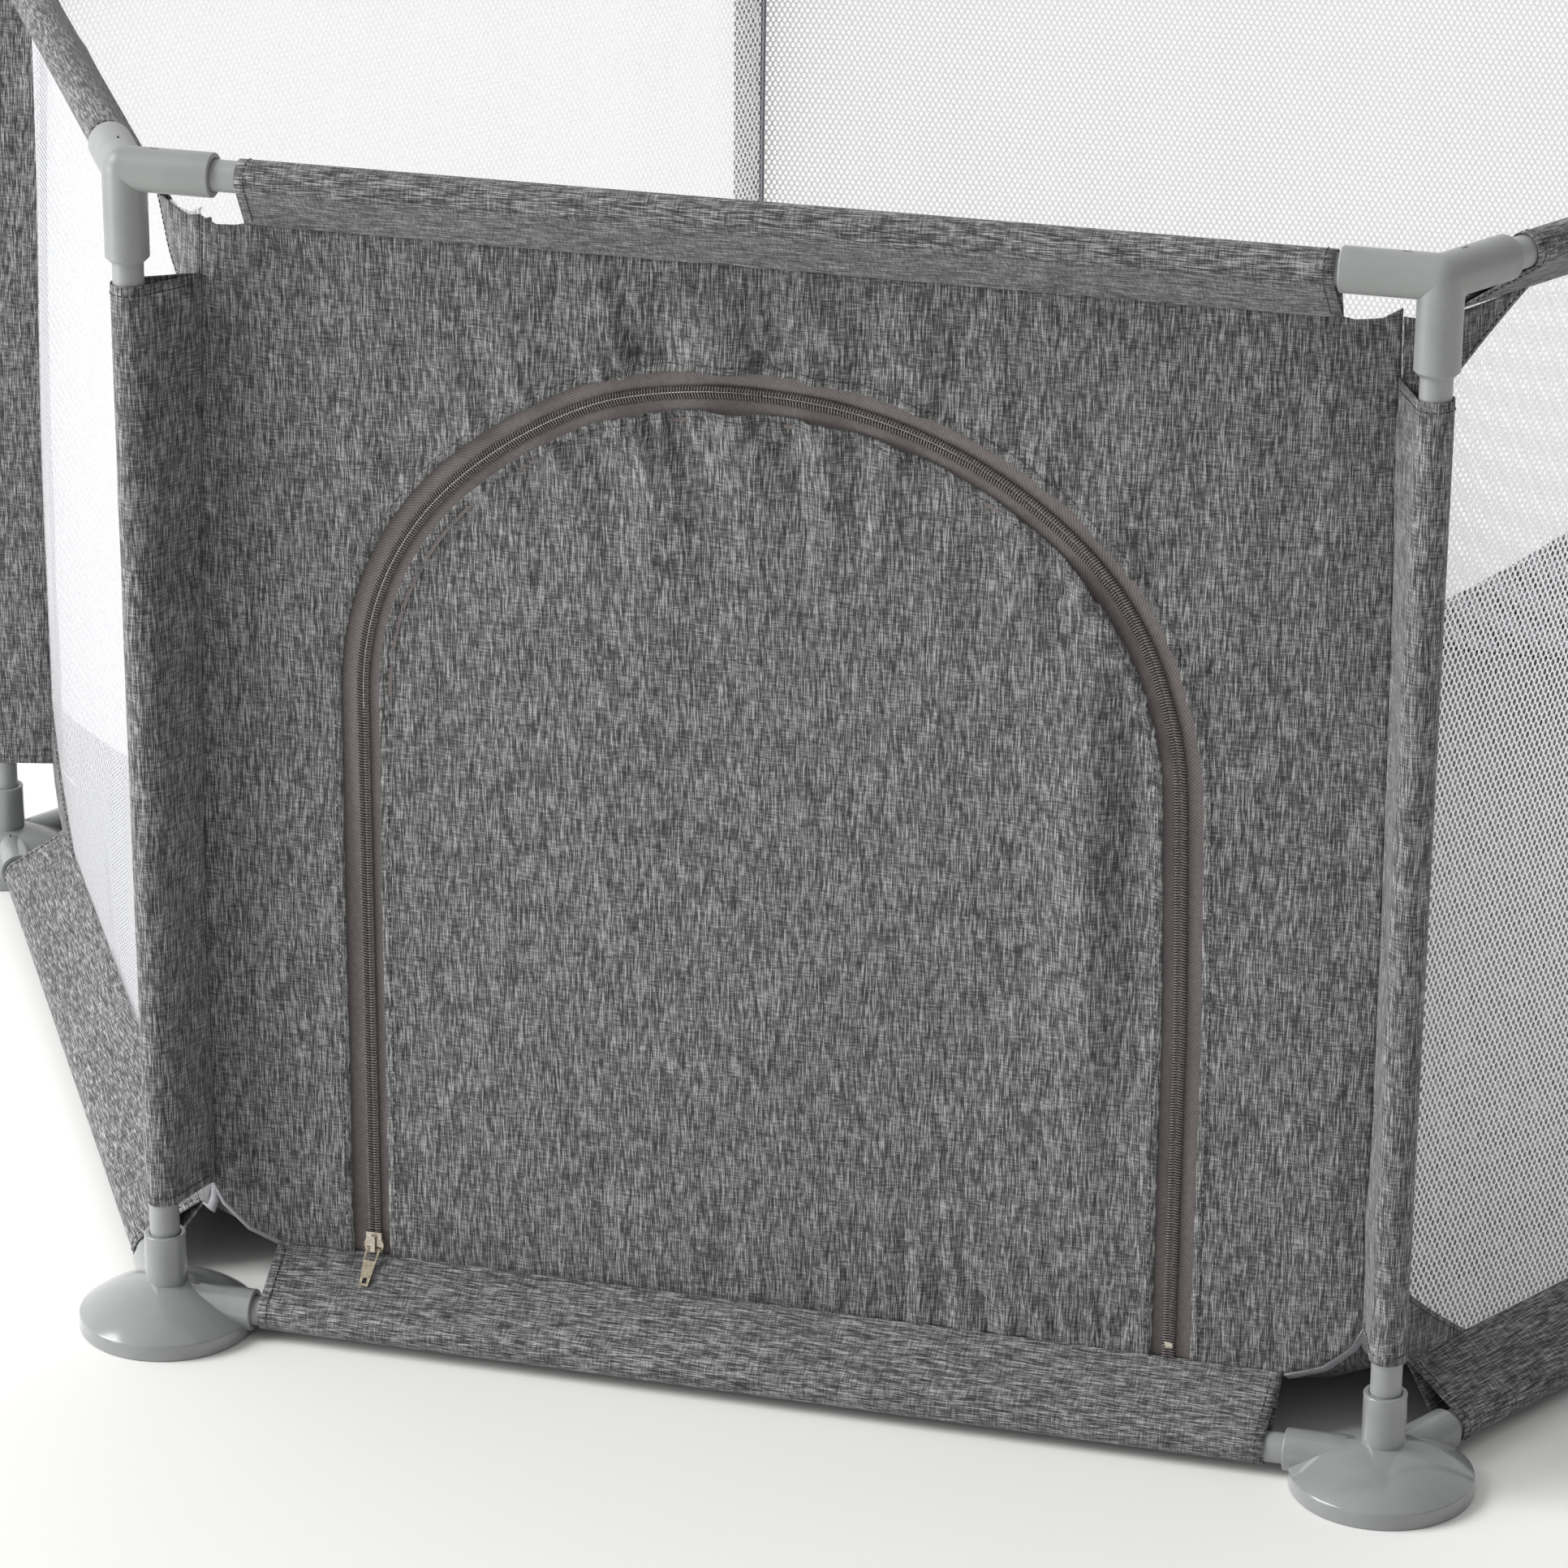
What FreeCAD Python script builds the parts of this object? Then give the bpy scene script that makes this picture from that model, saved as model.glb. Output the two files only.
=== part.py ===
import FreeCAD, Part
import math
import os

# Six-sided baby playpen with a knock-down frame: tubes pushed into three-way plastic joints, and a sewn
# enclosure of mesh and canvas that hangs inside the frame from flat sleeves. The front wall is solid canvas
# with an arched door closed by a coil zip. Millimetres, +Z up, origin on the floor at the middle of the
# hexagon, door towards -Y. Sides and corners are numbered anticlockwise from the front: side 0 is the door
# side and corner 0 its left end.

V = FreeCAD.Vector
UP = V(0, 0, 1)
ALONG = V(1, 0, 0)
INWARD = V(0, 1, 0)

SIDE_NAMES = ["front", "right_front", "right_back", "back", "left_back", "left_front"]
CORNER_NAMES = ["front_left", "front_right", "right", "back_right", "back_left", "left"]
STEP_TURN = 360.0 / len(SIDE_NAMES)

# Overall sizes
SIDE = 690.0  # between the axes of neighbouring posts
TOP_RAIL_Z = 671.0  # axis of the top rails
BOTTOM_RAIL_Z = 14.5  # axis of the bottom rails

# Tubes and the sockets that hold them
TUBE_OD = 16.8
TUBE_WALL = 1.0
TUBE_FIT = 0.15  # radial gap between a tube and its socket
SEAT = 14.0  # from the middle of a joint to the bottom of each socket's bore
SEAT_GAP = 0.5  # left between a tube's end and the bottom of the bore
SOCKET_WALL = 3.25
TOP_SOCKET_REACH = 50.0  # from the middle of a top joint to the socket's mouth
TOP_SOCKET_CHAMFER = 2.4  # on the downward socket
MOUTH_ROUND = 0.9
MOUTH_LEAD = 0.8  # widening of the bore at its mouth
CORE_SLOT = V(4.6, 1.2, 6.0)  # small moulding slot on top of each level socket: length, width, cut height
CORE_SLOT_AT = 15.0  # from the middle of the joint

# Feet
FOOT_R = 49.6
FOOT_RIM = 8.6  # height of the upright rim
FOOT_RIM_ROUND = 1.6
FOOT_CROWN_Z = 27.0  # where the dome meets the upright socket
FOOT_CROWN_BULGE = 2.3
FOOT_SOCKET_REACH = 52.5  # level sockets, from the post's axis
FOOT_POST_REACH = 42.0  # upright socket, from the rails' level
PAD_T = 2.4
PAD_MARGIN = 4.0  # rim left round the pad's recess
PAD_PROUD = 0.5  # how far the pad stands below the rim
PAD_GAP = 0.1

# Sewn enclosure
CLOTH = 1.0
WALL_INSET = 31.5  # from the frame's plane to the wall's plane
TOP_SEAM_DROP = 34.0  # from the top rail down to the wall's top seam
BOTTOM_SEAM_RISE = 28.5  # from the bottom rail up to the wall's bottom seam
TOP_CORNER_DROP = 6.0  # the wall's top edge falls this much from the sleeve's end to the corner seam
BOTTOM_CORNER_RISE = 34.0  # and its bottom edge rises this much
SEAM_GAP = 0.3  # between sewn pieces, which are separate solids here
SLEEVE_FIT = 0.4  # radial gap between a sleeve and its tube
TOP_SLEEVE_SETBACK = 56.0  # from the post's axis to the sleeve's end
BOTTOM_SLEEVE_SETBACK = 60.0
POST_SLEEVE_TOP_DROP = 62.0  # from the top rail down to the post sleeve's end
POST_SLEEVE_BOTTOM_RISE = 19.5  # from the foot's mouth up to its other end
GUSSET_T = 0.6
TOP_GUSSET = (92.0, 66.0)  # along the seam, down the corner
BOTTOM_GUSSET = (89.0, 77.0)
GUSSET_SAG = 3.0  # how far the slanting edge bows towards the corner
FLOOR_DROP_RUN = 95.0  # the floor cloth falls from the seam to the ground over this run
FLOOR_GROUND_GAP = 0.6
FLOOR_SEAM_GAP = 1.6  # between the wall's plane and the floor cloth's raised edge

# Door and zip, on the front wall. "Off" sizes are measured out from the zip's centre line.
DOOR_X = -5.0  # middle of the door, which sits a little left of the wall's middle
DOOR_HALF = 226.5
DOOR_TOP_DROP = 70.5  # from the wall's top seam down to the top of the arch
ARCH_FLATTEN = 35.5  # how much less the arch rises than half the door's width
SHOULDER_TIGHTEN = 20.0  # how much smaller the arch's shoulder radius is than its rise
FOLD_ABOVE_SLIDER = 4.6  # the flap folds out about a level line above the parked slider
FOLD_GAP = 0.8
WALL_EDGE_OFF = 12.0  # folded edge of the wall's cloth
FLAP_EDGE_OFF = 9.5  # folded edge of the flap's cloth
TAPE_EDGE_OFF = 16.0
TAPE_T = 0.6
TAPE_BEHIND = 0.2  # gap between the cloth and the tape behind it
COIL_GAP_OFF = 0.6  # half the gap between the two coils
COIL_W = 2.8
COIL_T = 2.4
COIL_BEHIND = 0.1  # gap between the coil and its tape
COIL_FOLD_GAP = 2.6  # the coils and tapes stop this far above and below the fold
SLIDER_UP = 2.5  # from the bottom seam to the slider's lower end when the door is shut
SLIDER_LENGTH = 12.4
SLIDER_TOP_HALF = 4.5
SLIDER_WIDE_HALF = 5.7
SLIDER_BOTTOM_HALF = 4.9
SLIDER_SHOULDER = 5.2  # from the lower end up to the widest place
SLIDER_NECK = 4.0  # straight part at the upper end
SLIDER_PLATE = 1.2
SLIDER_CLEAR = 0.4
SLIDER_POST_GAP = 0.35  # on each side of the post between the two coils
BRIDGE_W = 2.6
BRIDGE_LOW = 0.4  # from the slider's lower end to the bridge
BRIDGE_HIGH = 1.6  # from the bridge to its upper end
BRIDGE_T = 0.9
BRIDGE_CLEAR = 1.7  # space under the bridge
TAB_PIVOT_UP = 2.7  # above the slider's lower end
TAB_LENGTH = 23.0
TAB_T = 1.1
TAB_TOP_W = 8.6
TAB_END_W = 5.2
TAB_REST_GAP = 0.5  # between the hanging tab's end and the sleeve it leans on
TAB_WINDOW_W = 5.6
TAB_WINDOW_L = 7.5  # from the pin
TAB_HOLE = (2.6, 3.4)  # width, length of the small hole near the end
TAB_HOLE_UP = 1.6
TAB_END_ROUND = 0.8
TAB_SKEW = 2.0  # the tab hangs a little to the left

# Derived sizes
APOTHEM = SIDE * math.cos(math.pi / len(SIDE_NAMES))
CORNER = V(-SIDE / 2, -APOTHEM, 0)
BISECTOR = V(-CORNER.x, -CORNER.y, 0).normalize()
TUBE_R = TUBE_OD / 2
BORE_R = TUBE_R + TUBE_FIT
SOCKET_R = BORE_R + SOCKET_WALL
SEAT_OFF = SEAT + SEAT_GAP
WALL_Y = -APOTHEM + WALL_INSET
CORNER_SEAM_RUN = WALL_INSET / math.sin(math.radians(STEP_TURN))
WALL_HALF = SIDE / 2 - CORNER_SEAM_RUN * math.cos(math.radians(STEP_TURN))
SLEEVE_BORE_R = TUBE_R + SLEEVE_FIT
SLEEVE_R = SLEEVE_BORE_R + CLOTH
SLEEVE_TIP_R = CLOTH * 0.8  # half the sleeve's thickness at the seam
FOOT_MOUTH_Z = BOTTOM_RAIL_Z + FOOT_POST_REACH
WALL_TOP_Z = TOP_RAIL_Z - TOP_SEAM_DROP
WALL_BOTTOM_Z = BOTTOM_RAIL_Z + BOTTOM_SEAM_RISE
POST_SLEEVE_TOP_Z = TOP_RAIL_Z - POST_SLEEVE_TOP_DROP
POST_SLEEVE_BOTTOM_Z = FOOT_MOUTH_Z + POST_SLEEVE_BOTTOM_RISE
SLIDER_BOTTOM_Z = WALL_BOTTOM_Z + SLIDER_UP
SLIDER_TOP_Z = SLIDER_BOTTOM_Z + SLIDER_LENGTH
FOLD_Z = SLIDER_TOP_Z + FOLD_ABOVE_SLIDER
DOOR_RISE = DOOR_HALF - ARCH_FLATTEN
DOOR_SPRING_Z = WALL_TOP_Z - DOOR_TOP_DROP - DOOR_RISE
CLOTH_FRONT_Y = WALL_Y - CLOTH / 2
TAPE_Y = WALL_Y + CLOTH / 2 + TAPE_BEHIND  # front face of the tape
COIL_FRONT_Y = TAPE_Y - COIL_BEHIND - COIL_T
LEG_X = DOOR_X - DOOR_HALF  # centre line of the zip's left leg


def turned(shape, k):
    """A copy of a shape made at side or corner 0, turned to side or corner k."""
    copy = shape.copy()
    copy.rotate(V(0, 0, 0), UP, STEP_TURN * k)
    return copy


def save(name, shape):
    solids = shape.Solids
    for solid in solids:
        if not solid.isValid() or solid.Volume <= 0:
            raise ValueError(f"{name} isn't a valid solid")
    print(f"{name}: {len(solids)} solid(s), {sum(s.Volume for s in solids):.0f} mm3")
    (solids[0] if len(solids) == 1 else Part.makeCompound(solids)).exportStep(f"parts/{name}.step")


def fused(shapes):
    return shapes[0].multiFuse(shapes[1:]).removeSplitter()


def circle_edges(shape, radius, axis, at):
    """Round edges of this radius centred on the plane that axis meets at this distance."""
    found = []
    for edge in shape.Edges:
        curve = edge.Curve
        if isinstance(curve, Part.Circle) and abs(curve.Radius - radius) < 1e-3:
            if abs(curve.Center.dot(axis) - at) < 1e-3:
                found.append(edge)
    return found


def polygon_face(points):
    return Part.Face(Part.makePolygon([*points, points[0]]))


def slab(outline, front_y, thickness):
    """A sheet of this thickness whose outline is a face drawn in the XZ plane at y = 0."""
    sheet = outline.extrude(INWARD * thickness)
    sheet.translate(V(0, front_y, 0))
    return sheet


# Frame


def tube(start, direction, length):
    outer = Part.makeCylinder(TUBE_R, length, start, direction)
    return outer.cut(Part.makeCylinder(TUBE_R - TUBE_WALL, length, start, direction))


def rail(z):
    start = V(-SIDE / 2 + SEAT_OFF, -APOTHEM, z)
    return tube(start, ALONG, SIDE - 2 * SEAT_OFF)


def post():
    low, high = BOTTOM_RAIL_Z + SEAT_OFF, TOP_RAIL_Z - SEAT_OFF
    return tube(V(CORNER.x, CORNER.y, low), UP, high - low)


def socket(reach, direction, end_cut):
    """The outside of one socket, from the middle of the joint to its rounded or chamfered mouth."""
    body = Part.makeCylinder(SOCKET_R, reach)
    mouth = circle_edges(body, SOCKET_R, UP, reach)
    body = body.makeFillet(end_cut, mouth) if end_cut <= MOUTH_ROUND else body.makeChamfer(end_cut, mouth)
    body.Placement = FreeCAD.Placement(V(0, 0, 0), FreeCAD.Rotation(UP, direction))
    return body


def bore(reach, direction):
    """What is cut away for one tube, with a lead-in at the mouth."""
    hole = Part.makeCylinder(BORE_R, reach - SEAT + 1, V(0, 0, SEAT))
    lead = Part.makeCone(BORE_R, BORE_R + MOUTH_LEAD, MOUTH_LEAD, V(0, 0, reach - MOUTH_LEAD))
    hole = hole.fuse(lead)
    hole.Placement = FreeCAD.Placement(V(0, 0, 0), FreeCAD.Rotation(UP, direction))
    return hole


def level_directions():
    """The two rails that leave corner 0: along the front, and along the side before it."""
    turn = math.radians(180 - STEP_TURN)
    return [ALONG, V(math.cos(turn), math.sin(turn), 0)]


def core_slot(direction):
    cut = Part.makeBox(CORE_SLOT.x, CORE_SLOT.y, CORE_SLOT.z)
    cut.translate(V(CORE_SLOT_AT, -CORE_SLOT.y / 2, SOCKET_R - CORE_SLOT.z / 2))
    cut.rotate(V(0, 0, 0), UP, math.degrees(math.atan2(direction.y, direction.x)))
    return cut


def top_connector():
    """Elbow with two level sockets and one pointing down, closed by a ball at the corner."""
    directions = level_directions()
    body = fused(
        [Part.makeSphere(SOCKET_R)]
        + [socket(TOP_SOCKET_REACH, d, MOUTH_ROUND) for d in directions]
        + [socket(TOP_SOCKET_REACH, -UP, TOP_SOCKET_CHAMFER)]
    )
    for direction in [*directions, -UP]:
        body = body.cut(bore(TOP_SOCKET_REACH, direction))
    for direction in directions:
        body = body.cut(core_slot(direction))
    body.translate(V(CORNER.x, CORNER.y, TOP_RAIL_Z))
    return body


def foot_dome():
    """Round base: an upright rim and a shallow dome that rises to the post's socket."""
    rim_top, low = PAD_PROUD + FOOT_RIM, PAD_PROUD
    crown = V(SOCKET_R, 0, FOOT_CROWN_Z)
    rim = V(FOOT_R, 0, rim_top)
    slope = (crown - rim).normalize()
    middle = (rim + crown) * 0.5 + V(-slope.z, 0, slope.x) * -FOOT_CROWN_BULGE
    edges = [
        Part.makeLine(V(0, 0, low), V(FOOT_R, 0, low)),
        Part.makeLine(V(FOOT_R, 0, low), rim),
        Part.Arc(rim, middle, crown).toShape(),
        Part.makeLine(crown, V(0, 0, FOOT_CROWN_Z)),
        Part.makeLine(V(0, 0, FOOT_CROWN_Z), V(0, 0, low)),
    ]
    dome = Part.Face(Part.Wire(edges)).revolve(V(0, 0, 0), UP, 360)
    return dome.makeFillet(FOOT_RIM_ROUND, circle_edges(dome, FOOT_R, UP, rim_top))


def foot():
    """Foot with a socket for the post and two level sockets that sink into the dome."""
    directions = level_directions()
    ways = [(FOOT_POST_REACH, UP)] + [(FOOT_SOCKET_REACH, d) for d in directions]
    sockets = [socket(reach, way, MOUTH_ROUND) for reach, way in ways]
    bores = [bore(reach, way) for reach, way in ways]
    slots = [core_slot(d) for d in directions]
    for shape in [*sockets, *bores, *slots]:
        shape.translate(UP * BOTTOM_RAIL_Z)
    body = fused([foot_dome(), *sockets])
    recess_r = FOOT_R - PAD_MARGIN
    recess = Part.makeCylinder(recess_r, PAD_T - PAD_PROUD + PAD_GAP, V(0, 0, PAD_PROUD))
    for cutter in [*bores, *slots, recess]:
        body = body.cut(cutter)
    body.translate(CORNER)
    return body


def foot_pad():
    return Part.makeCylinder(FOOT_R - PAD_MARGIN - PAD_GAP, PAD_T, CORNER)


# Sewn enclosure


def sleeve_taper(reach):
    """(distance of a flat sleeve's edge from the tube, taper of each face in radians)."""
    tip_x = reach - SLEEVE_TIP_R - SEAM_GAP - CLOTH / 2
    return tip_x, math.asin((SLEEVE_R - SLEEVE_TIP_R) / tip_x)


def sleeve_face(reach):
    """Section of a flat sleeve: round the tube at the origin, flattened to its seam at +X, reach away."""
    tip_x, lean = sleeve_taper(reach)
    normal = V(math.sin(lean), math.cos(lean), 0)
    mirrored = V(normal.x, -normal.y, 0)
    tip = V(tip_x, 0, 0)
    tip_ends = [tip + way * SLEEVE_TIP_R for way in (normal, ALONG, mirrored)]
    edges = [
        Part.makeLine(normal * SLEEVE_R, tip_ends[0]),
        Part.Arc(*tip_ends).toShape(),
        Part.makeLine(tip_ends[2], mirrored * SLEEVE_R),
        Part.Arc(mirrored * SLEEVE_R, ALONG * -SLEEVE_R, normal * SLEEVE_R).toShape(),
    ]
    outline = Part.Face(Part.Wire(edges))
    return outline.cut(Part.Face(Part.Wire(Part.makeCircle(SLEEVE_BORE_R))))


def sleeve(axis_point, towards_seam, along, length):
    """A sleeve from axis_point along a tube, its flat side reaching to the seam."""
    body = sleeve_face(towards_seam.Length).extrude(UP * length)
    flat = V(towards_seam).normalize()
    third = along.cross(flat)
    body.Placement = FreeCAD.Placement(axis_point, FreeCAD.Rotation(flat, third, along, "ZXY"))
    return body


def post_sleeve():
    start = V(CORNER.x, CORNER.y, POST_SLEEVE_BOTTOM_Z)
    return sleeve(start, BISECTOR * CORNER_SEAM_RUN, UP, POST_SLEEVE_TOP_Z - POST_SLEEVE_BOTTOM_Z)


def rail_sleeve(rail_z, seam_z, setback):
    start = V(-SIDE / 2 + setback, -APOTHEM, rail_z)
    return sleeve(start, V(0, WALL_INSET, seam_z - rail_z), ALONG, SIDE - 2 * setback)


def wall_outline():
    """Outline of every wall: straight seams, a slight fall to the top corners, slanting lower corners."""
    half = WALL_HALF - CLOTH
    top_run = SIDE / 2 - TOP_SLEEVE_SETBACK
    bottom_run = SIDE / 2 - BOTTOM_SLEEVE_SETBACK
    right = [
        V(bottom_run, 0, WALL_BOTTOM_Z),
        V(half, 0, WALL_BOTTOM_Z + BOTTOM_CORNER_RISE),
        V(half, 0, WALL_TOP_Z - TOP_CORNER_DROP),
        V(top_run, 0, WALL_TOP_Z),
    ]
    return polygon_face(right + [V(-p.x, 0, p.z) for p in reversed(right)])


def mesh_wall():
    return slab(wall_outline(), WALL_Y - CLOTH / 2, CLOTH)


def gusset_outline(size, seam_z, down):
    """Corner piece between the corner seam and a level seam, its slanting edge bowed towards the corner."""
    corner = V(-WALL_HALF + CLOTH, 0, seam_z)
    along_end = corner + V(size[0], 0, 0)
    down_end = corner + V(0, 0, -size[1] if down else size[1])
    towards = (corner - (along_end + down_end) * 0.5).normalize()
    middle = (along_end + down_end) * 0.5 + towards * GUSSET_SAG
    edges = [
        Part.makeLine(corner, along_end),
        Part.Arc(along_end, middle, down_end).toShape(),
        Part.makeLine(down_end, corner),
    ]
    return Part.Face(Part.Wire(edges))


def corner_gussets():
    """Canvas gussets on the outside of the mesh: four on each mesh wall."""
    front_y = CLOTH_FRONT_Y - SEAM_GAP - GUSSET_T
    top = gusset_outline(TOP_GUSSET, WALL_TOP_Z, True).common(wall_outline())
    bottom = gusset_outline(BOTTOM_GUSSET, WALL_BOTTOM_Z, False).common(wall_outline())
    left = [slab(outline, front_y, GUSSET_T) for outline in (top, bottom)]
    pair = left + [shape.mirror(V(0, 0, 0), ALONG) for shape in left]
    return Part.makeCompound([turned(s, k) for k in range(1, len(SIDE_NAMES)) for s in pair])


def cut_corner_wire(apothem, corner_cut, z):
    """Closed hexagon with its corners cut off, at height z."""
    half = apothem * math.tan(math.radians(STEP_TURN / 2)) - corner_cut
    points = []
    for k in range(len(SIDE_NAMES)):
        turn = FreeCAD.Rotation(UP, STEP_TURN * k)
        points += [turn.multVec(V(-half, -apothem, z)), turn.multVec(V(half, -apothem, z))]
    return Part.makePolygon([*points, points[0]])


def floor_cloth():
    """Floor cloth: flat on the ground, rising all round to the seam at the foot of the walls."""
    rim_apothem = -WALL_Y - FLOOR_SEAM_GAP
    rim_cut = BOTTOM_SLEEVE_SETBACK - (SIDE / 2 - WALL_HALF)
    rim = cut_corner_wire(rim_apothem, rim_cut, WALL_BOTTOM_Z)
    flat = cut_corner_wire(rim_apothem - FLOOR_DROP_RUN, rim_cut, FLOOR_GROUND_GAP)
    dish = Part.makeLoft([flat, rim], True, True)
    return dish.cut(dish.translated(UP * CLOTH))


# Door and zip


def arch_face(off, low_z):
    """The door's shape grown by off from the zip's centre line: straight legs, three-centred arch."""
    shoulder = DOOR_RISE - SHOULDER_TIGHTEN
    side_run, top_run = DOOR_HALF - shoulder, SHOULDER_TIGHTEN
    crown_drop = (side_run**2 - top_run**2) / (2 * top_run)
    crown_r = DOOR_RISE + crown_drop
    lean = math.atan2(side_run, crown_drop)
    shoulder_r, crown_r = shoulder + off, crown_r + off

    def at(x, z):
        return V(DOOR_X + x, 0, DOOR_SPRING_Z + z)

    def shoulder_point(side, angle):
        return at(side * (side_run + shoulder_r * math.sin(angle)), shoulder_r * math.cos(angle))

    halfway = (lean + math.pi / 2) / 2
    left, right = -DOOR_HALF - off, DOOR_HALF + off
    low = low_z - DOOR_SPRING_Z
    edges = [
        Part.makeLine(at(left, low), at(left, 0)),
        Part.Arc(at(left, 0), shoulder_point(-1, halfway), shoulder_point(-1, lean)).toShape(),
        Part.Arc(shoulder_point(-1, lean), at(0, crown_r - crown_drop), shoulder_point(1, lean)).toShape(),
        Part.Arc(shoulder_point(1, lean), shoulder_point(1, halfway), at(right, 0)).toShape(),
        Part.makeLine(at(right, 0), at(right, low)),
        Part.makeLine(at(right, low), at(left, low)),
    ]
    return Part.Face(Part.Wire(edges))


def band_face(inner_off, outer_off, low_z):
    """The strip between two growths of the door's shape."""
    return arch_face(outer_off, low_z).cut(arch_face(inner_off, low_z - 1))


def below(face, z):
    """The part of an outline that lies under a level line."""
    half = SIDE / 2
    return face.common(polygon_face([V(-half, 0, 0), V(half, 0, 0), V(half, 0, z), V(-half, 0, z)]))


def front_wall():
    """Canvas wall with the doorway cut out down to its bottom seam."""
    return slab(wall_outline().cut(arch_face(WALL_EDGE_OFF, WALL_BOTTOM_Z - 1)), CLOTH_FRONT_Y, CLOTH)


def door_threshold():
    """The strip of cloth that stays on the wall under the door's fold."""
    outline = below(arch_face(-FLAP_EDGE_OFF, WALL_BOTTOM_Z + SEAM_GAP), FOLD_Z - FOLD_GAP)
    return slab(outline, CLOTH_FRONT_Y, CLOTH)


def door_flap():
    return slab(arch_face(-FLAP_EDGE_OFF, FOLD_Z + FOLD_GAP), CLOTH_FRONT_Y, CLOTH)


def zip_strip(inner_off, outer_off, front_y, thickness):
    """(wall's share, flap's share) of a tape or coil: the wall also keeps the flap's side under the fold."""
    low = WALL_BOTTOM_Z + SEAM_GAP
    outer = slab(band_face(inner_off, outer_off, low), front_y, thickness)
    ends = below(band_face(-outer_off, -inner_off, low), FOLD_Z - COIL_FOLD_GAP)
    stubs = slab(ends, front_y, thickness)
    flap = slab(band_face(-outer_off, -inner_off, FOLD_Z + COIL_FOLD_GAP), front_y, thickness)
    return Part.makeCompound([outer, *stubs.Solids]), flap


def zip_slider():
    """Slider: front and back plates joined by a post between the coils, side flanges and a bridge."""
    front_y = COIL_FRONT_Y - SLIDER_CLEAR - SLIDER_PLATE
    inside_y = front_y + SLIDER_PLATE
    back_y = TAPE_Y + TAPE_T + SLIDER_CLEAR
    low, high = SLIDER_BOTTOM_Z, SLIDER_TOP_Z
    half = [
        V(SLIDER_BOTTOM_HALF, 0, low),
        V(SLIDER_WIDE_HALF, 0, low + SLIDER_SHOULDER),
        V(SLIDER_TOP_HALF, 0, high - SLIDER_NECK),
        V(SLIDER_TOP_HALF, 0, high),
    ]
    outline = polygon_face(half + [V(-p.x, 0, p.z) for p in reversed(half)])
    channel_half = COIL_GAP_OFF + COIL_W + SLIDER_CLEAR
    depth = back_y - inside_y
    channel = Part.makeBox(2 * channel_half, depth, SLIDER_LENGTH, V(-channel_half, inside_y, low))
    front = slab(outline, front_y, SLIDER_PLATE)
    flanges = slab(outline, inside_y, TAPE_Y - SLIDER_CLEAR - inside_y).cut(channel)
    back = slab(outline, back_y, SLIDER_PLATE)
    post_half = COIL_GAP_OFF - SLIDER_POST_GAP
    post = Part.makeBox(2 * post_half, depth, SLIDER_LENGTH / 4, V(-post_half, inside_y, low))
    body = fused([front, flanges, back, post, slider_bridge(front_y)])
    body.translate(V(LEG_X, 0, 0))
    return body


def slider_bridge(plate_y):
    """The strap over the front plate that carries the pull tab's pin."""
    low = SLIDER_BOTTOM_Z + BRIDGE_LOW
    high = SLIDER_TOP_Z - BRIDGE_HIGH
    out = BRIDGE_CLEAR + BRIDGE_T
    block = Part.makeBox(BRIDGE_W, out, high - low, V(-BRIDGE_W / 2, plate_y - out, low))
    outer = [
        e
        for e in block.Edges
        if abs(e.BoundBox.YMax - (plate_y - out)) < 1e-6 and e.BoundBox.XLength > BRIDGE_W / 2
    ]
    block = block.makeFillet(BRIDGE_T, outer)
    space = Part.makeBox(BRIDGE_W, BRIDGE_CLEAR, high - low - 2 * BRIDGE_T)
    space.translate(V(-BRIDGE_W / 2, plate_y - BRIDGE_CLEAR, low + BRIDGE_T))
    return block.cut(space)


def tab_pivot():
    pin_y = COIL_FRONT_Y - SLIDER_CLEAR - SLIDER_PLATE - BRIDGE_CLEAR / 2
    return V(LEG_X, pin_y, SLIDER_BOTTOM_Z + TAB_PIVOT_UP)


def tab_lean():
    """Degrees from straight down at which the hanging tab's end rests on the bottom sleeve's upper face."""
    rise = WALL_BOTTOM_Z - BOTTOM_RAIL_Z
    slope = math.atan2(rise, WALL_INSET) - sleeve_taper(math.hypot(rise, WALL_INSET))[1]
    normal = V(0, -math.sin(slope), math.cos(slope))
    above = normal.dot(tab_pivot() - V(LEG_X, -APOTHEM, BOTTOM_RAIL_Z)) - SLEEVE_R
    return 90 - math.degrees(slope + math.asin((above - TAB_T / 2 - TAB_REST_GAP) / TAB_LENGTH))


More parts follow.
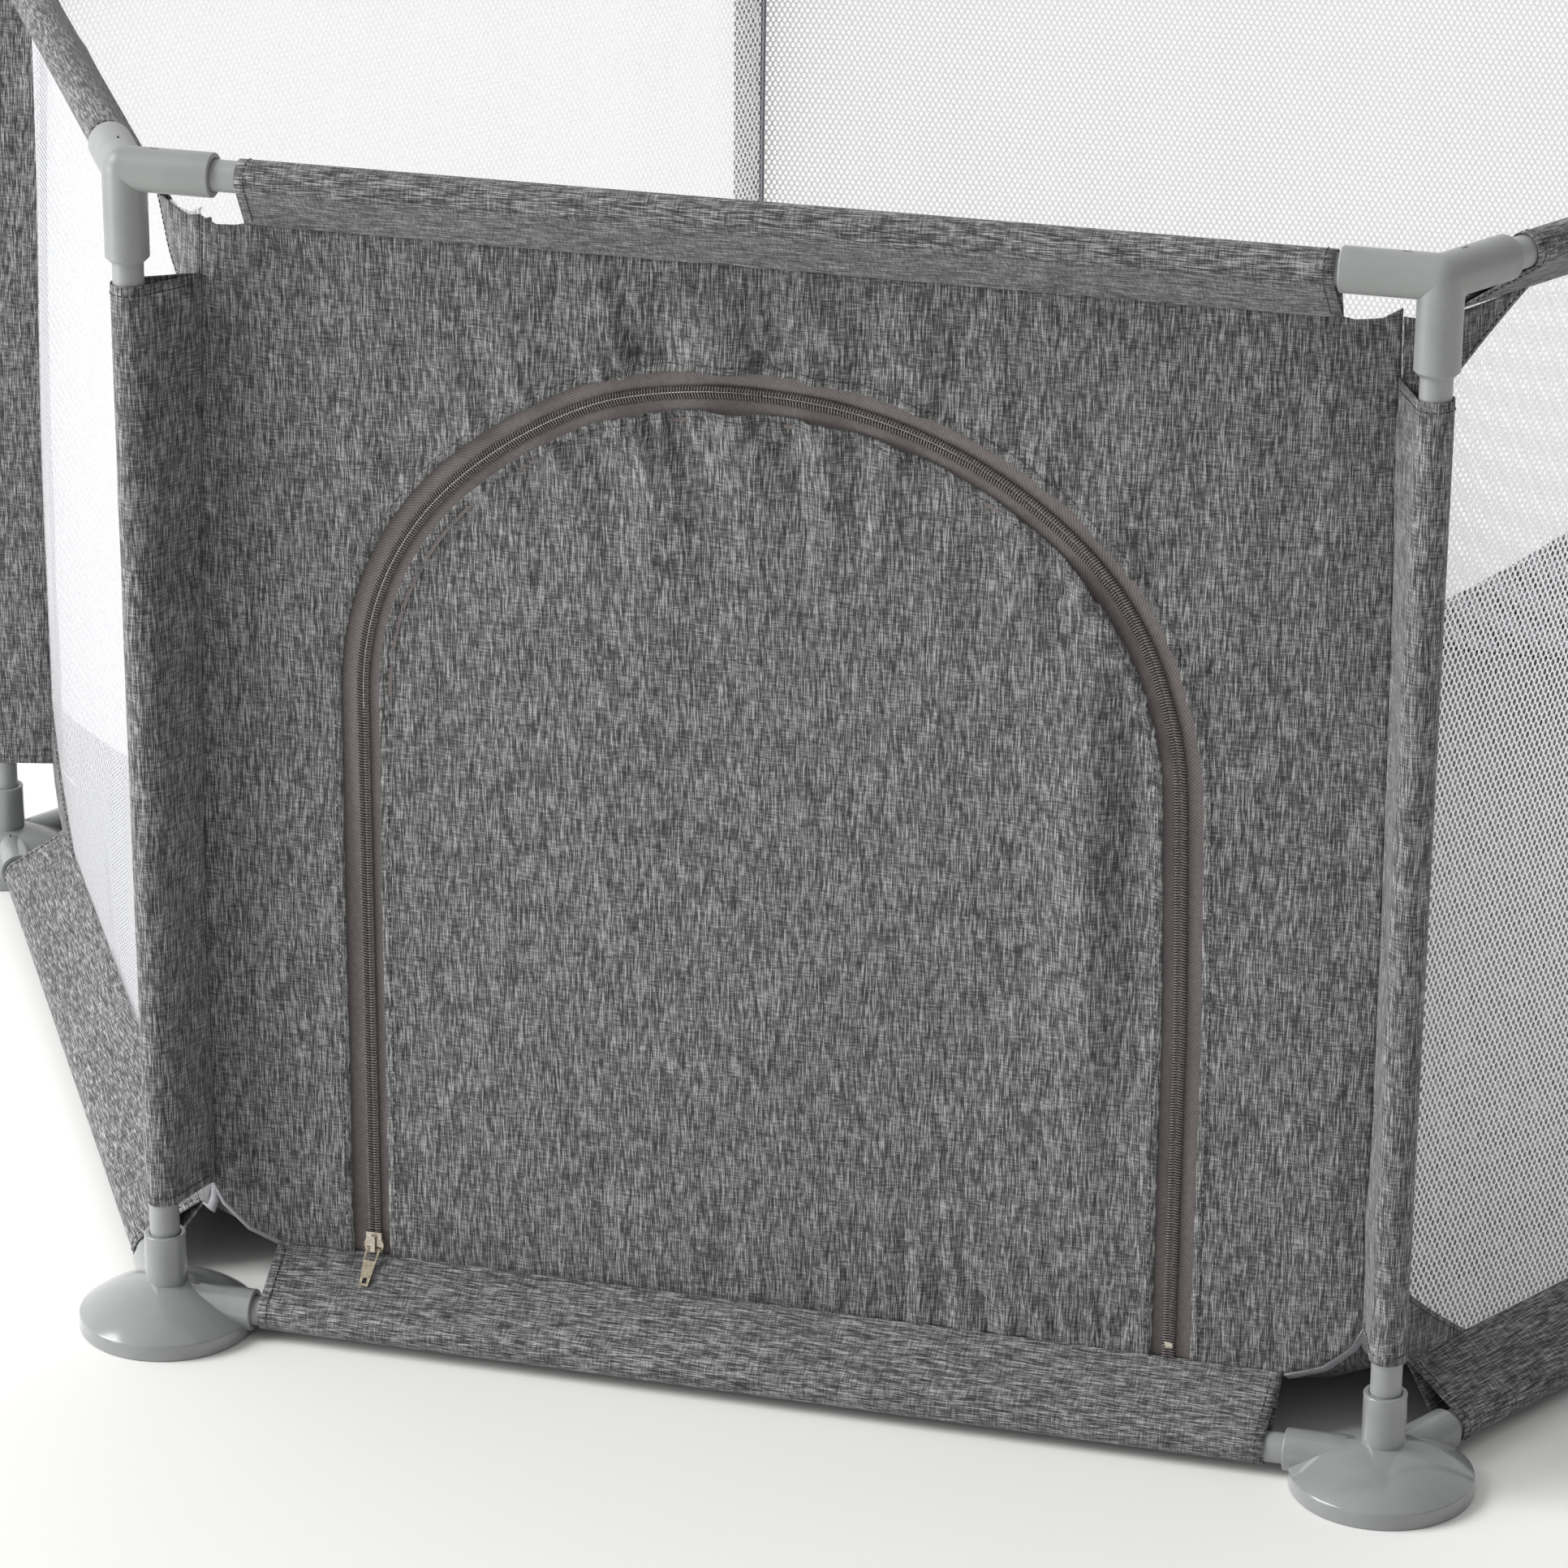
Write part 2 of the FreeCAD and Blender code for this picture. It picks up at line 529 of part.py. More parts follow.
def pull_tab():
    """Tapered pull tab: two arms joined by the pin under the bridge, a blade and a small hole at its end."""
    top, end = TAB_TOP_W / 2, TAB_END_W / 2
    outline = [V(-top, 0, 0), V(top, 0, 0), V(end, 0, -TAB_LENGTH), V(-end, 0, -TAB_LENGTH)]
    blade = slab(polygon_face(outline), -TAB_T / 2, TAB_T)
    through = [e for e in blade.Edges if e.BoundBox.YLength > TAB_T / 2]
    low_corners = [e for e in through if e.BoundBox.ZMin < -TAB_LENGTH / 2]
    blade = blade.makeFillet(TAB_END_ROUND, low_corners)
    window = Part.makeBox(TAB_WINDOW_W, 2 * TAB_T, TAB_WINDOW_L)
    window.translate(V(-TAB_WINDOW_W / 2, -TAB_T, -TAB_WINDOW_L))
    hole = Part.makeBox(TAB_HOLE[0], 2 * TAB_T, TAB_HOLE[1])
    hole.translate(V(-TAB_HOLE[0] / 2, -TAB_T, TAB_HOLE_UP - TAB_LENGTH))
    pin = Part.makeCylinder(TAB_T / 2, TAB_TOP_W, V(-top, 0, 0), ALONG)
    tab = fused([blade.cut(window).cut(hole), pin])
    tab.rotate(V(0, 0, 0), ALONG, -tab_lean())
    tab.rotate(V(0, 0, 0), INWARD, TAB_SKEW)
    tab.translate(tab_pivot())
    return tab


def main():
    os.makedirs("parts", exist_ok=True)
    top_sleeve = rail_sleeve(TOP_RAIL_Z, WALL_TOP_Z, TOP_SLEEVE_SETBACK)
    bottom_sleeve = rail_sleeve(BOTTOM_RAIL_Z, WALL_BOTTOM_Z, BOTTOM_SLEEVE_SETBACK)
    at_corners = {
        "foot": foot(),
        "foot_pad": foot_pad(),
        "top_connector": top_connector(),
        "post": post(),
        "post_sleeve": post_sleeve(),
    }
    at_sides = {"top_rail": rail(TOP_RAIL_Z), "bottom_rail": rail(BOTTOM_RAIL_Z)}
    for name, shape in at_corners.items():
        for k, corner in enumerate(CORNER_NAMES):
            save(f"{name}_{corner}", turned(shape, k))
    for name, shape in at_sides.items():
        for k, side in enumerate(SIDE_NAMES):
            save(f"{name}_{side}", turned(shape, k))
    sides = range(len(SIDE_NAMES))
    save("top_sleeves", Part.makeCompound([turned(top_sleeve, k) for k in sides]))
    save("bottom_sleeves", Part.makeCompound([turned(bottom_sleeve, k) for k in sides]))
    for k, side in enumerate(SIDE_NAMES[1:], start=1):
        save(f"mesh_wall_{side}", turned(mesh_wall(), k))
    save("corner_gussets", corner_gussets())
    save("floor_cloth", floor_cloth())
    save("front_wall", front_wall())
    save("door_threshold", door_threshold())
    save("door_flap", door_flap())
    tape_outer, tape_inner = zip_strip(COIL_GAP_OFF, TAPE_EDGE_OFF, TAPE_Y, TAPE_T)
    coil_outer, coil_inner = zip_strip(COIL_GAP_OFF, COIL_GAP_OFF + COIL_W, COIL_FRONT_Y, COIL_T)
    save("zip_tape_outer", tape_outer)
    save("zip_tape_inner", tape_inner)
    save("zip_coil_outer", coil_outer)
    save("zip_coil_inner", coil_inner)
    save("zip_slider", zip_slider())
    save("zip_pull_tab", pull_tab())
    pivot = tab_pivot()
    axis = FreeCAD.Rotation(INWARD, TAB_SKEW).multVec(-ALONG)
    print(f"door fold: y {WALL_Y:.3f}, z {FOLD_Z:.3f}")
    print(f"zip travel: {DOOR_SPRING_Z - SLIDER_TOP_Z:.3f}")
    print("tab pivot:", [round(v, 3) for v in pivot], "axis:", [round(v, 6) for v in axis])
    print(f"tab leans {tab_lean():.2f} degrees from straight down")
    print(f"interior: apothem {-WALL_Y:.3f}, corner radius {WALL_HALF * 2:.3f}")


main()
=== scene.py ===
import math

import bpy
import numpy as np
from mathutils import Matrix, Vector, geometry


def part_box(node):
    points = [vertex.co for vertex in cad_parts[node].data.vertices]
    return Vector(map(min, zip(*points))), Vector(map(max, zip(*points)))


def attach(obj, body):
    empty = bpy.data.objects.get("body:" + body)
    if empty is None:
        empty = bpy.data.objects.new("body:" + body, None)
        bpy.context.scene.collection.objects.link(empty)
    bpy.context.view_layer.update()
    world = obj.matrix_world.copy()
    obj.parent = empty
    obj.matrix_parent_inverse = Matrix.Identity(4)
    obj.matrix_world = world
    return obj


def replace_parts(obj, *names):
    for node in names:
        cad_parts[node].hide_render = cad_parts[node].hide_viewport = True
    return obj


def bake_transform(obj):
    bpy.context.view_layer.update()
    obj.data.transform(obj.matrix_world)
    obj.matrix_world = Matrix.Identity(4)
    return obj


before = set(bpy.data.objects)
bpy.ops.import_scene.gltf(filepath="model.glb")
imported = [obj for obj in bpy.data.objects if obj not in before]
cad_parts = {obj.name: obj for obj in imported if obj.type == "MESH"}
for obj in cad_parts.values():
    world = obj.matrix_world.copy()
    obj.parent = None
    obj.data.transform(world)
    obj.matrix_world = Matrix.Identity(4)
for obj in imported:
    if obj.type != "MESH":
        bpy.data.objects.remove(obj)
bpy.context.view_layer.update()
scene = bpy.context.scene

# A six-sided baby playpen: tubes in moulded joints, and a sewn enclosure of canvas and net that hangs
# inside them from flat sleeves, with an arched zip door in its front. Metres, door towards -Y.

SIDES = ("front", "right_front", "right_back", "back", "left_back", "left_front")
CORNERS = ("front_left", "front_right", "right", "back_right", "back_left", "left")


def middle_of(node):
    low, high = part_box(node)
    return (low + high) / 2


POST = middle_of("post_front_left")  # corner 0, the front's left end
TOP_RAIL_Z = middle_of("top_rail_front").z
LOW_RAIL_Z = middle_of("bottom_rail_front").z
WALL_LOW, WALL_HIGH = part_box("front_wall")
WALL_Y = middle_of("front_wall").y
SEAM_HALF = WALL_HIGH.x + 0.001  # the corner seams stand this far left and right of the wall's middle
TOP_Z, BOTTOM_Z = WALL_HIGH.z, WALL_LOW.z
FLAP_LOW, FLAP_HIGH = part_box("door_flap")
TAPE_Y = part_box("zip_tape_outer")[0].y
COIL_LOW, COIL_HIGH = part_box("zip_coil_outer")
SLEEVE_R = 0.0098  # the sleeves' cloth stands this far from the tubes' axes
POST_SLEEVE_LOW, POST_SLEEVE_HIGH = (v.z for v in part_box("post_sleeve_front_left"))
TOP_SLEEVE_HALF = 0.289
LOW_SLEEVE_HALF = 0.285
# Where each rail sleeve ends along its side: at the tube, then at the seam
TOP_SLEEVE_ENDS = ((-0.281, -0.291), (0.293, 0.292))
LOW_SLEEVE_ENDS = ((-0.288, -0.289), (0.282, 0.284))
NOTCH_RISE = 0.034  # the walls' lower corners are cut away to this height above the bottom seam
CORNER_DRAW = 0.014  # the walls' top corners are drawn this far inwards, away from the posts
DRAW_FROM_Z = 0.26
DRAW_REACH = 0.045
TOP_GUSSET = (0.092, 0.066)  # along the seam, and down or up the corner
LOW_GUSSET = (0.089, 0.077)
HIGH_GUSSET = (0.200, 0.145)  # both lower gussets at the far right corner
CANVAS_FOLD = 0.0010  # a turned edge of canvas
GUSSET_FOLD = 0.0006
NET_YARN = 0.0006
CANVAS_STEP, GUSSET_STEP, NET_STEP, FLOOR_STEP = 0.0042, 0.005, 0.009, 0.013  # the cuts' mesh sizes

# The door's shape. Offsets are measured outwards from the zip's centre line.
FLAP_EDGE_OFF = 0.0095
WALL_EDGE_OFF = 0.0120
TAPE_EDGE_OFF = 0.0160
DOOR_X = (FLAP_LOW.x + FLAP_HIGH.x) / 2
DOOR_HALF = (FLAP_HIGH.x - FLAP_LOW.x) / 2 + FLAP_EDGE_OFF
DOOR_RISE = DOOR_HALF - 0.0355
SHOULDER_R = DOOR_RISE - 0.020
SPRING_Z = FLAP_HIGH.z + FLAP_EDGE_OFF - DOOR_RISE


# Shapes


def soft_noise(u, v, seed):
    """Smooth noise from -1 to 1 with one bump to a unit, the same in every run."""
    table = np.random.default_rng(seed).uniform(-1, 1, (257, 257))
    u, v = np.broadcast_arrays(np.asarray(u, float), np.asarray(v, float))
    cell_u, cell_v = np.floor(u).astype(int), np.floor(v).astype(int)
    fu, fv = u - cell_u, v - cell_v
    fu, fv = fu * fu * (3 - 2 * fu), fv * fv * (3 - 2 * fv)
    a, b, c, d = (
        table[(cell_u + i) % 257, (cell_v + j) % 257] for i, j in ((0, 0), (1, 0), (0, 1), (1, 1))
    )
    return (a * (1 - fu) + b * fu) * (1 - fv) + (c * (1 - fu) + d * fu) * fv


def fade(distance, reach):
    return np.exp(-np.maximum(distance, 0) / reach)


def bump_at(value, middle, half):
    """1 at the middle, falling smoothly to nothing about two halves away."""
    return np.exp(-(((value - middle) / half) ** 2))


def turned(points, k):
    """Points made at side or corner 0, turned to side or corner k."""
    angle = math.radians(60 * k)
    c, s = math.cos(angle), math.sin(angle)
    x, y, z = np.moveaxis(np.asarray(points, float), -1, 0)
    return np.stack([x * c - y * s, x * s + y * c, z], -1)


def new_piece(name, points, faces, material, body="enclosure", uv=None):
    """A smooth mesh that rides on a body. uv is one pair in metres to a point, for woven patterns."""
    mesh = bpy.data.meshes.new(name)
    mesh.from_pydata(np.asarray(points, float).reshape(-1, 3).tolist(), [], faces)
    if uv is not None:
        layer = mesh.uv_layers.new(name="cloth")
        corner_points = np.empty(len(mesh.loops), np.int32)
        mesh.loops.foreach_get("vertex_index", corner_points)
        layer.uv.foreach_set("vector", np.asarray(uv, np.float32).reshape(-1, 2)[corner_points].ravel())
    mesh.shade_smooth()
    mesh.materials.append(material)
    piece = bpy.data.objects.new(name, mesh)
    scene.collection.objects.link(piece)
    if body:
        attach(piece, body)
    return piece


def grid_faces(rows, columns, ring=False):
    faces = []
    for i in range(rows - 1):
        for j in range(columns if ring else columns - 1):
            k = (j + 1) % columns
            faces.append((i * columns + j, i * columns + k, (i + 1) * columns + k, (i + 1) * columns + j))
    return faces


def spaced(line, step, closed=False):
    """Points about step apart along a line of straight runs, with every corner kept."""
    line = np.asarray(line, float)
    ends = np.vstack([line, line[:1]]) if closed else line
    out = []
    for a, b in zip(ends[:-1], ends[1:]):
        n = max(1, int(round(np.linalg.norm(b - a) / step)))
        out.extend(a + (b - a) * i / n for i in range(n))
    if not closed:
        out.append(ends[-1])
    return np.array(out)


def even(line, step):
    """Points exactly evenly spaced, about step apart, along a smooth line."""
    line = np.asarray(line, float)
    along = np.concatenate([[0], np.cumsum(np.linalg.norm(np.diff(line, axis=0), axis=1))])
    at = np.linspace(0, along[-1], max(2, int(round(along[-1] / step)) + 1))
    return np.stack([np.interp(at, along, line[:, i]) for i in range(line.shape[1])], 1)


def inside(points, loop):
    """Which points lie within a closed outline."""
    x, z = points[:, 0], points[:, 1]
    found = np.zeros(len(points), bool)
    for (xa, za), (xb, zb) in zip(loop, np.roll(loop, -1, 0)):
        if za != zb:
            found ^= ((za > z) != (zb > z)) & (x < (xb - xa) * (z - za) / (zb - za) + xa)
    return found


def cut_cloth(outline, step):
    """A flat cut of cloth filled with even triangles: (its points, its faces)."""
    loop = spaced(outline, step, closed=True)
    low, high = loop.min(0), loop.max(0)
    rows = []
    for i, z in enumerate(np.arange(low[1] + step / 2, high[1], step * 0.87)):
        xs = np.arange(low[0] + (0.5 if i % 2 else 1.0) * step, high[0], step)
        rows.append(np.stack([xs, np.full(len(xs), z)], 1))
    fill = np.concatenate(rows)
    fill = fill[inside(fill, loop)]
    near = np.ones(len(fill), bool)
    for p in loop:
        near &= ((fill - p) ** 2).sum(1) > (0.55 * step) ** 2
    points = np.concatenate([loop, fill[near]])
    edges = [(i, (i + 1) % len(loop)) for i in range(len(loop))]
    found = geometry.delaunay_2d_cdt([Vector(p) for p in points], edges, [], 1, 1e-7)
    return np.array([tuple(v) for v in found[0]]), [tuple(f) for f in found[2]]


def stitches(name, line, outwards, thread, length=0.0030, gap=0.0009, thick=0.00032, body="enclosure"):
    """A row of lockstitch along a line: each stitch is a short raised bead that dips in at its ends."""
    line = np.asarray(line, float)
    out = np.broadcast_to(np.asarray(outwards, float), line.shape)
    both = even(np.concatenate([line, out * 1e-6], 1), length + gap)
    spots, out = both[:, :3], both[:-1, 3:]
    a, b = spots[:-1], spots[:-1] + (spots[1:] - spots[:-1]) * length / (length + gap)
    out = out / np.linalg.norm(out, axis=1, keepdims=True)
    way = (b - a) / np.maximum(np.linalg.norm(b - a, axis=1, keepdims=True), 1e-9)
    across = np.cross(way, out)
    points, faces = [], []
    for share in (0.16, 0.5, 0.84):
        at = a + (b - a) * share
        for c, s in ((1, 0), (0, 1), (-1, 0), (0, -1)):
            points.append(at + across * c * thick + out * (s * thick + thick * 0.3))
    ends = [a - out * thick, b - out * thick]
    cloud = np.stack([*points, *ends], 1)
    for i in range(len(cloud)):
        n = i * 14
        for ring in (0, 4):
            faces += [
                (
                    n + ring + j, n + ring + (j + 1) % 4, n + ring + 4 + (j + 1) % 4, n + ring + 4 + j
                ) for j in range(4)
            ]
        faces += [(n + 12, n + (j + 1) % 4, n + j) for j in range(4)]
        faces += [(n + 13, n + 8 + j, n + 8 + (j + 1) % 4) for j in range(4)]
    return new_piece(name, cloud, faces, thread, body)


# Materials


def linear(hex_code):
    """An sRGB hex colour as linear RGBA."""
    parts = [int(hex_code[i : i + 2], 16) / 255 for i in (1, 3, 5)]
    return (*(p / 12.92 if p <= 0.04045 else ((p + 0.055) / 1.055) ** 2.4 for p in parts), 1.0)


def new_material(name):
    material = bpy.data.materials.new(name)
    material.use_nodes = True
    material.node_tree.nodes.clear()
    return material, material.node_tree


def add(tree, kind, settings=None, values=None, links=None):
    """Adds a node: settings are its properties, values its sockets' numbers, links what feeds its sockets."""
    node = tree.nodes.new(kind)
    for key, value in (settings or {}).items():
        setattr(node, key, value)
    for key, value in (values or {}).items():
        node.inputs[key].default_value = value
    for key, source in (links or {}).items():
        tree.links.new(source, node.inputs[key])
    return node


def set_ramp(node, stops):
    ramp = node.color_ramp
    while len(ramp.elements) < len(stops):
        ramp.elements.new(0.5)
    for element, (place, colour) in zip(ramp.elements, stops):
        element.position, element.color = place, linear(colour)


def heather_canvas(name, shades):
    """Polyester Oxford canvas woven from two-tone slub yarn: fine dark and pale streaks run down the warp
    with weaker ones across, so from near it looks brushed and from afar an even grey. The shades run from
    dark to pale."""
    material, tree = new_material(name)
    cloth = add(tree, "ShaderNodeUVMap", {"uv_map": "cloth"})
    parts = add(tree, "ShaderNodeSeparateXYZ", None, None, {0: cloth.outputs[0]})
    yarn_apart, warp_slub, weft_slub = 0.00042, 0.012, 0.008
    tones = []
    for across, along, slub in ((0, 1, warp_slub), (1, 0, weft_slub)):
        count = add(
            tree, "ShaderNodeMath", {"operation": "MULTIPLY"}, {1: 1 / yarn_apart},
            {0: parts.outputs[across]}
        )
        number = add(tree, "ShaderNodeMath", {"operation": "FLOOR"}, None, {0: count.outputs[0]})
        # Each yarn takes its own line through the noise, so neighbours don't match
        line = add(tree, "ShaderNodeMath", {"operation": "MULTIPLY"}, {1: 0.731}, {0: number.outputs[0]})
        run = add(
            tree, "ShaderNodeMath", {"operation": "MULTIPLY"}, {1: 1 / slub}, {0: parts.outputs[along]}
        )
        place = add(
            tree, "ShaderNodeMath", {"operation": "MULTIPLY_ADD"}, {1: 17.31},
            {0: number.outputs[0], 2: run.outputs[0]}
        )
        spot = add(tree, "ShaderNodeCombineXYZ", None, None, {0: line.outputs[0], 1: place.outputs[0]})
        tones.append(
            add(
                tree, "ShaderNodeTexNoise", {"noise_dimensions": "2D"},
                {"Scale": 1.0, "Detail": 1.5, "Roughness": 0.6}, {"Vector": spot.outputs[0]}
            )
        )
    warp, weft = tones
    cross = add(
        tree, "ShaderNodeMix", {"data_type": "FLOAT"}, {"Factor": 0.32},
        {"A": warp.outputs[0], "B": weft.outputs[0]}
    )
    yarns = add(tree, "ShaderNodeValToRGB", None, None, {0: cross.outputs[0]})
    set_ramp(yarns, list(zip((0.36, 0.44, 0.50, 0.56, 0.65), shades)))
    relief = add(
        tree, "ShaderNodeBump", None, {"Strength": 0.5, "Distance": 0.0003}, {"Height": cross.outputs[0]}
    )
    fibre = add(
        tree, "ShaderNodeBsdfPrincipled", None,
        {
            "Roughness": 0.86, "Sheen Weight": 0.12, "Sheen Roughness": 0.5,
            "IOR": 1.45, "Specular IOR Level": 0.25,
        },
        {"Base Color": yarns.outputs[0], "Normal": relief.outputs[0]},
    )
    add(tree, "ShaderNodeOutputMaterial", None, None, {"Surface": fibre.outputs[0]})
    return material


def warp_knit_net():
    """White polyester net, warp knitted into a lattice of oval holes between soft yarn legs: bright from
    afar, and see-through where the eye looks straight on."""
    material, tree = new_material("white warp-knit polyester net")
    pitch, row_height, hole_half, hole_half_height = 0.00433, 0.00365, 0.00128, 0.00184
    cloth = add(tree, "ShaderNodeUVMap", {"uv_map": "cloth"})
    parts = add(tree, "ShaderNodeSeparateXYZ", None, None, {0: cloth.outputs[0]})
    row = add(tree, "ShaderNodeMath", {"operation": "MULTIPLY"}, {1: 1 / row_height}, {0: parts.outputs[1]})
    row_number = add(tree, "ShaderNodeMath", {"operation": "FLOOR"}, None, {0: row.outputs[0]})
    half_shift = add(
        tree, "ShaderNodeMath", {"operation": "MULTIPLY"}, {1: 0.5}, {0: row_number.outputs[0]}
    )
    column = add(
        tree, "ShaderNodeMath", {"operation": "MULTIPLY_ADD"}, {1: 1 / pitch},
        {0: parts.outputs[0], 2: half_shift.outputs[0]}
    )
    in_column = add(tree, "ShaderNodeMath", {"operation": "FRACT"}, None, {0: column.outputs[0]})
    in_row = add(tree, "ShaderNodeMath", {"operation": "FRACT"}, None, {0: row.outputs[0]})
    from_hole = add(
        tree, "ShaderNodeMath", {"operation": "MULTIPLY_ADD"},
        {1: pitch / hole_half, 2: -0.5 * pitch / hole_half}, {0: in_column.outputs[0]}
    )
    from_hole_up = add(
        tree, "ShaderNodeMath", {"operation": "MULTIPLY_ADD"},
        {1: row_height / hole_half_height, 2: -0.5 * row_height / hole_half_height}, {0: in_row.outputs[0]}
    )
    across = add(tree, "ShaderNodeMath", {"operation": "POWER"}, {1: 2.0}, {0: from_hole.outputs[0]})
    up = add(
        tree, "ShaderNodeMath", {"operation": "MULTIPLY_ADD"}, None,
        {0: from_hole_up.outputs[0], 1: from_hole_up.outputs[0], 2: across.outputs[0]}
    )
    yarn = add(
        tree, "ShaderNodeMapRange", {"interpolation_type": "SMOOTHSTEP"},
        {"From Min": 0.86, "From Max": 1.12}, {0: up.outputs[0]}
    )
    twist = add(
        tree, "ShaderNodeTexNoise", {"noise_dimensions": "2D"}, {"Scale": 1 / 0.0012, "Detail": 2.0},
        {"Vector": cloth.outputs[0]}
    )
    shade = add(tree, "ShaderNodeValToRGB", None, None, {0: twist.outputs[0]})
    set_ramp(shade, [(0.3, "#f4f4f8"), (0.65, "#fefeff")])
    lit = add(
        tree, "ShaderNodeBsdfPrincipled", None,
        {"Roughness": 0.7, "Sheen Weight": 0.2, "IOR": 1.45, "Specular IOR Level": 0.3},
        {"Base Color": shade.outputs[0]}
    )
    glow = add(tree, "ShaderNodeBsdfTranslucent", None, None, {"Color": shade.outputs[0]})
    thread = add(tree, "ShaderNodeMixShader", None, {0: 0.55}, {1: lit.outputs[0], 2: glow.outputs[0]})
    hole = add(tree, "ShaderNodeBsdfTransparent")
    surface = add(
        tree, "ShaderNodeMixShader", None, None,
        {0: yarn.outputs[0], 1: hole.outputs[0], 2: thread.outputs[0]}
    )
    add(tree, "ShaderNodeOutputMaterial", None, None, {"Surface": surface.outputs[0]})
    return material


def moulded_plastic(name, dark, pale, roughness, coat, grain):
    """Injection-moulded plastic: one even colour with faint flow marks, and a fine grain in the gloss."""
    material, tree = new_material(name)
    place = add(tree, "ShaderNodeTexCoord")
    flow = add(
        tree, "ShaderNodeTexNoise", None, {"Scale": 1 / 0.03, "Detail": 3.0, "Distortion": 0.8},
        {"Vector": place.outputs["Object"]}
    )
    colour = add(tree, "ShaderNodeValToRGB", None, None, {0: flow.outputs[0]})
    set_ramp(colour, [(0.3, dark), (0.7, pale)])
    speck = add(
        tree, "ShaderNodeTexNoise", None, {"Scale": 1 / 0.0011, "Detail": 2.0},
        {"Vector": place.outputs["Object"]}
    )
    gloss = add(
        tree, "ShaderNodeMapRange", None, {"To Min": roughness - 0.05, "To Max": roughness + 0.07},
        {0: speck.outputs[0]}
    )
    relief = add(
        tree, "ShaderNodeBump", None, {"Strength": grain, "Distance": 0.0002}, {"Height": speck.outputs[0]}
    )
    body = add(
        tree, "ShaderNodeBsdfPrincipled", None,
        {"IOR": 1.5, "Coat Weight": coat, "Coat Roughness": 0.12},
        {"Base Color": colour.outputs[0], "Roughness": gloss.outputs[0], "Normal": relief.outputs[0]},
    )
    add(tree, "ShaderNodeOutputMaterial", None, None, {"Surface": body.outputs[0]})
    return material


def coated_steel():
    """Steel tube with a sprayed grey coat: satin, with paint's faint orange peel along its highlights."""
    material, tree = new_material("grey sprayed steel tube")
    place = add(tree, "ShaderNodeTexCoord")
    peel = add(
        tree, "ShaderNodeTexNoise", None, {"Scale": 1 / 0.0016, "Detail": 1.0},
        {"Vector": place.outputs["Object"]}
    )
    rub = add(
        tree, "ShaderNodeTexNoise", None, {"Scale": 1 / 0.02, "Detail": 4.0},
        {"Vector": place.outputs["Object"]}
    )
    colour = add(tree, "ShaderNodeValToRGB", None, None, {0: rub.outputs[0]})
    set_ramp(colour, [(0.3, "#8e9090"), (0.7, "#9d9f9e")])
    gloss = add(tree, "ShaderNodeMapRange", None, {"To Min": 0.32, "To Max": 0.46}, {0: rub.outputs[0]})
    relief = add(
        tree, "ShaderNodeBump", None, {"Strength": 0.12, "Distance": 0.0003}, {"Height": peel.outputs[0]}
    )
    body = add(tree, "ShaderNodeBsdfPrincipled", None, {"Metallic": 0.0, "IOR": 1.5},
               {"Base Color": colour.outputs[0], "Roughness": gloss.outputs[0], "Normal": relief.outputs[0]})
    add(tree, "ShaderNodeOutputMaterial", None, None, {"Surface": body.outputs[0]})
    return material


def woven_band(name, dark, pale, rib, roughness):
    """Narrow woven tape: fine ribs slant across it like twill, with a soft dull face."""
    material, tree = new_material(name)
    cloth = add(tree, "ShaderNodeUVMap", {"uv_map": "cloth"})
    ribs = add(
        tree, "ShaderNodeTexWave", {"bands_direction": "DIAGONAL"},
        {"Scale": 0.314 / rib, "Distortion": 0.6, "Detail": 1.0}, {"Vector": cloth.outputs[0]}
    )
    fuzz = add(
        tree, "ShaderNodeTexNoise", {"noise_dimensions": "2D"}, {"Scale": 1 / 0.003, "Detail": 3.0},
        {"Vector": cloth.outputs[0]}
    )
    tone = add(
        tree, "ShaderNodeMix", {"data_type": "FLOAT"}, {"Factor": 0.5},
        {"A": ribs.outputs["Fac"], "B": fuzz.outputs[0]}
    )
    colour = add(tree, "ShaderNodeValToRGB", None, None, {0: tone.outputs[0]})
    set_ramp(colour, [(0.25, dark), (0.75, pale)])
    relief = add(
        tree, "ShaderNodeBump", None, {"Strength": 0.4, "Distance": 0.0002}, {"Height": ribs.outputs["Fac"]}
    )
    fibre = add(
        tree, "ShaderNodeBsdfPrincipled", None,
        {"Roughness": roughness, "Sheen Weight": 0.15, "IOR": 1.45, "Specular IOR Level": 0.35},
        {"Base Color": colour.outputs[0], "Normal": relief.outputs[0]}
    )
    add(tree, "ShaderNodeOutputMaterial", None, None, {"Surface": fibre.outputs[0]})
    return material


def plain_fibre(name, dark, pale, roughness, size):
    """Twisted or drawn fibre, such as sewing thread, nylon coil or cork-like foam: a slight mottle."""
    material, tree = new_material(name)
    place = add(tree, "ShaderNodeTexCoord")
    mottle = add(
        tree, "ShaderNodeTexNoise", None, {"Scale": 1 / size, "Detail": 2.0},
        {"Vector": place.outputs["Object"]}
    )
    colour = add(tree, "ShaderNodeValToRGB", None, None, {0: mottle.outputs[0]})
    set_ramp(colour, [(0.3, dark), (0.7, pale)])
    relief = add(
        tree, "ShaderNodeBump", None, {"Strength": 0.3, "Distance": 0.0001}, {"Height": mottle.outputs[0]}
    )
    body = add(
        tree, "ShaderNodeBsdfPrincipled", None, {"Roughness": roughness, "IOR": 1.53},
        {"Base Color": colour.outputs[0], "Normal": relief.outputs[0]}
    )
    add(tree, "ShaderNodeOutputMaterial", None, None, {"Surface": body.outputs[0]})
    return material


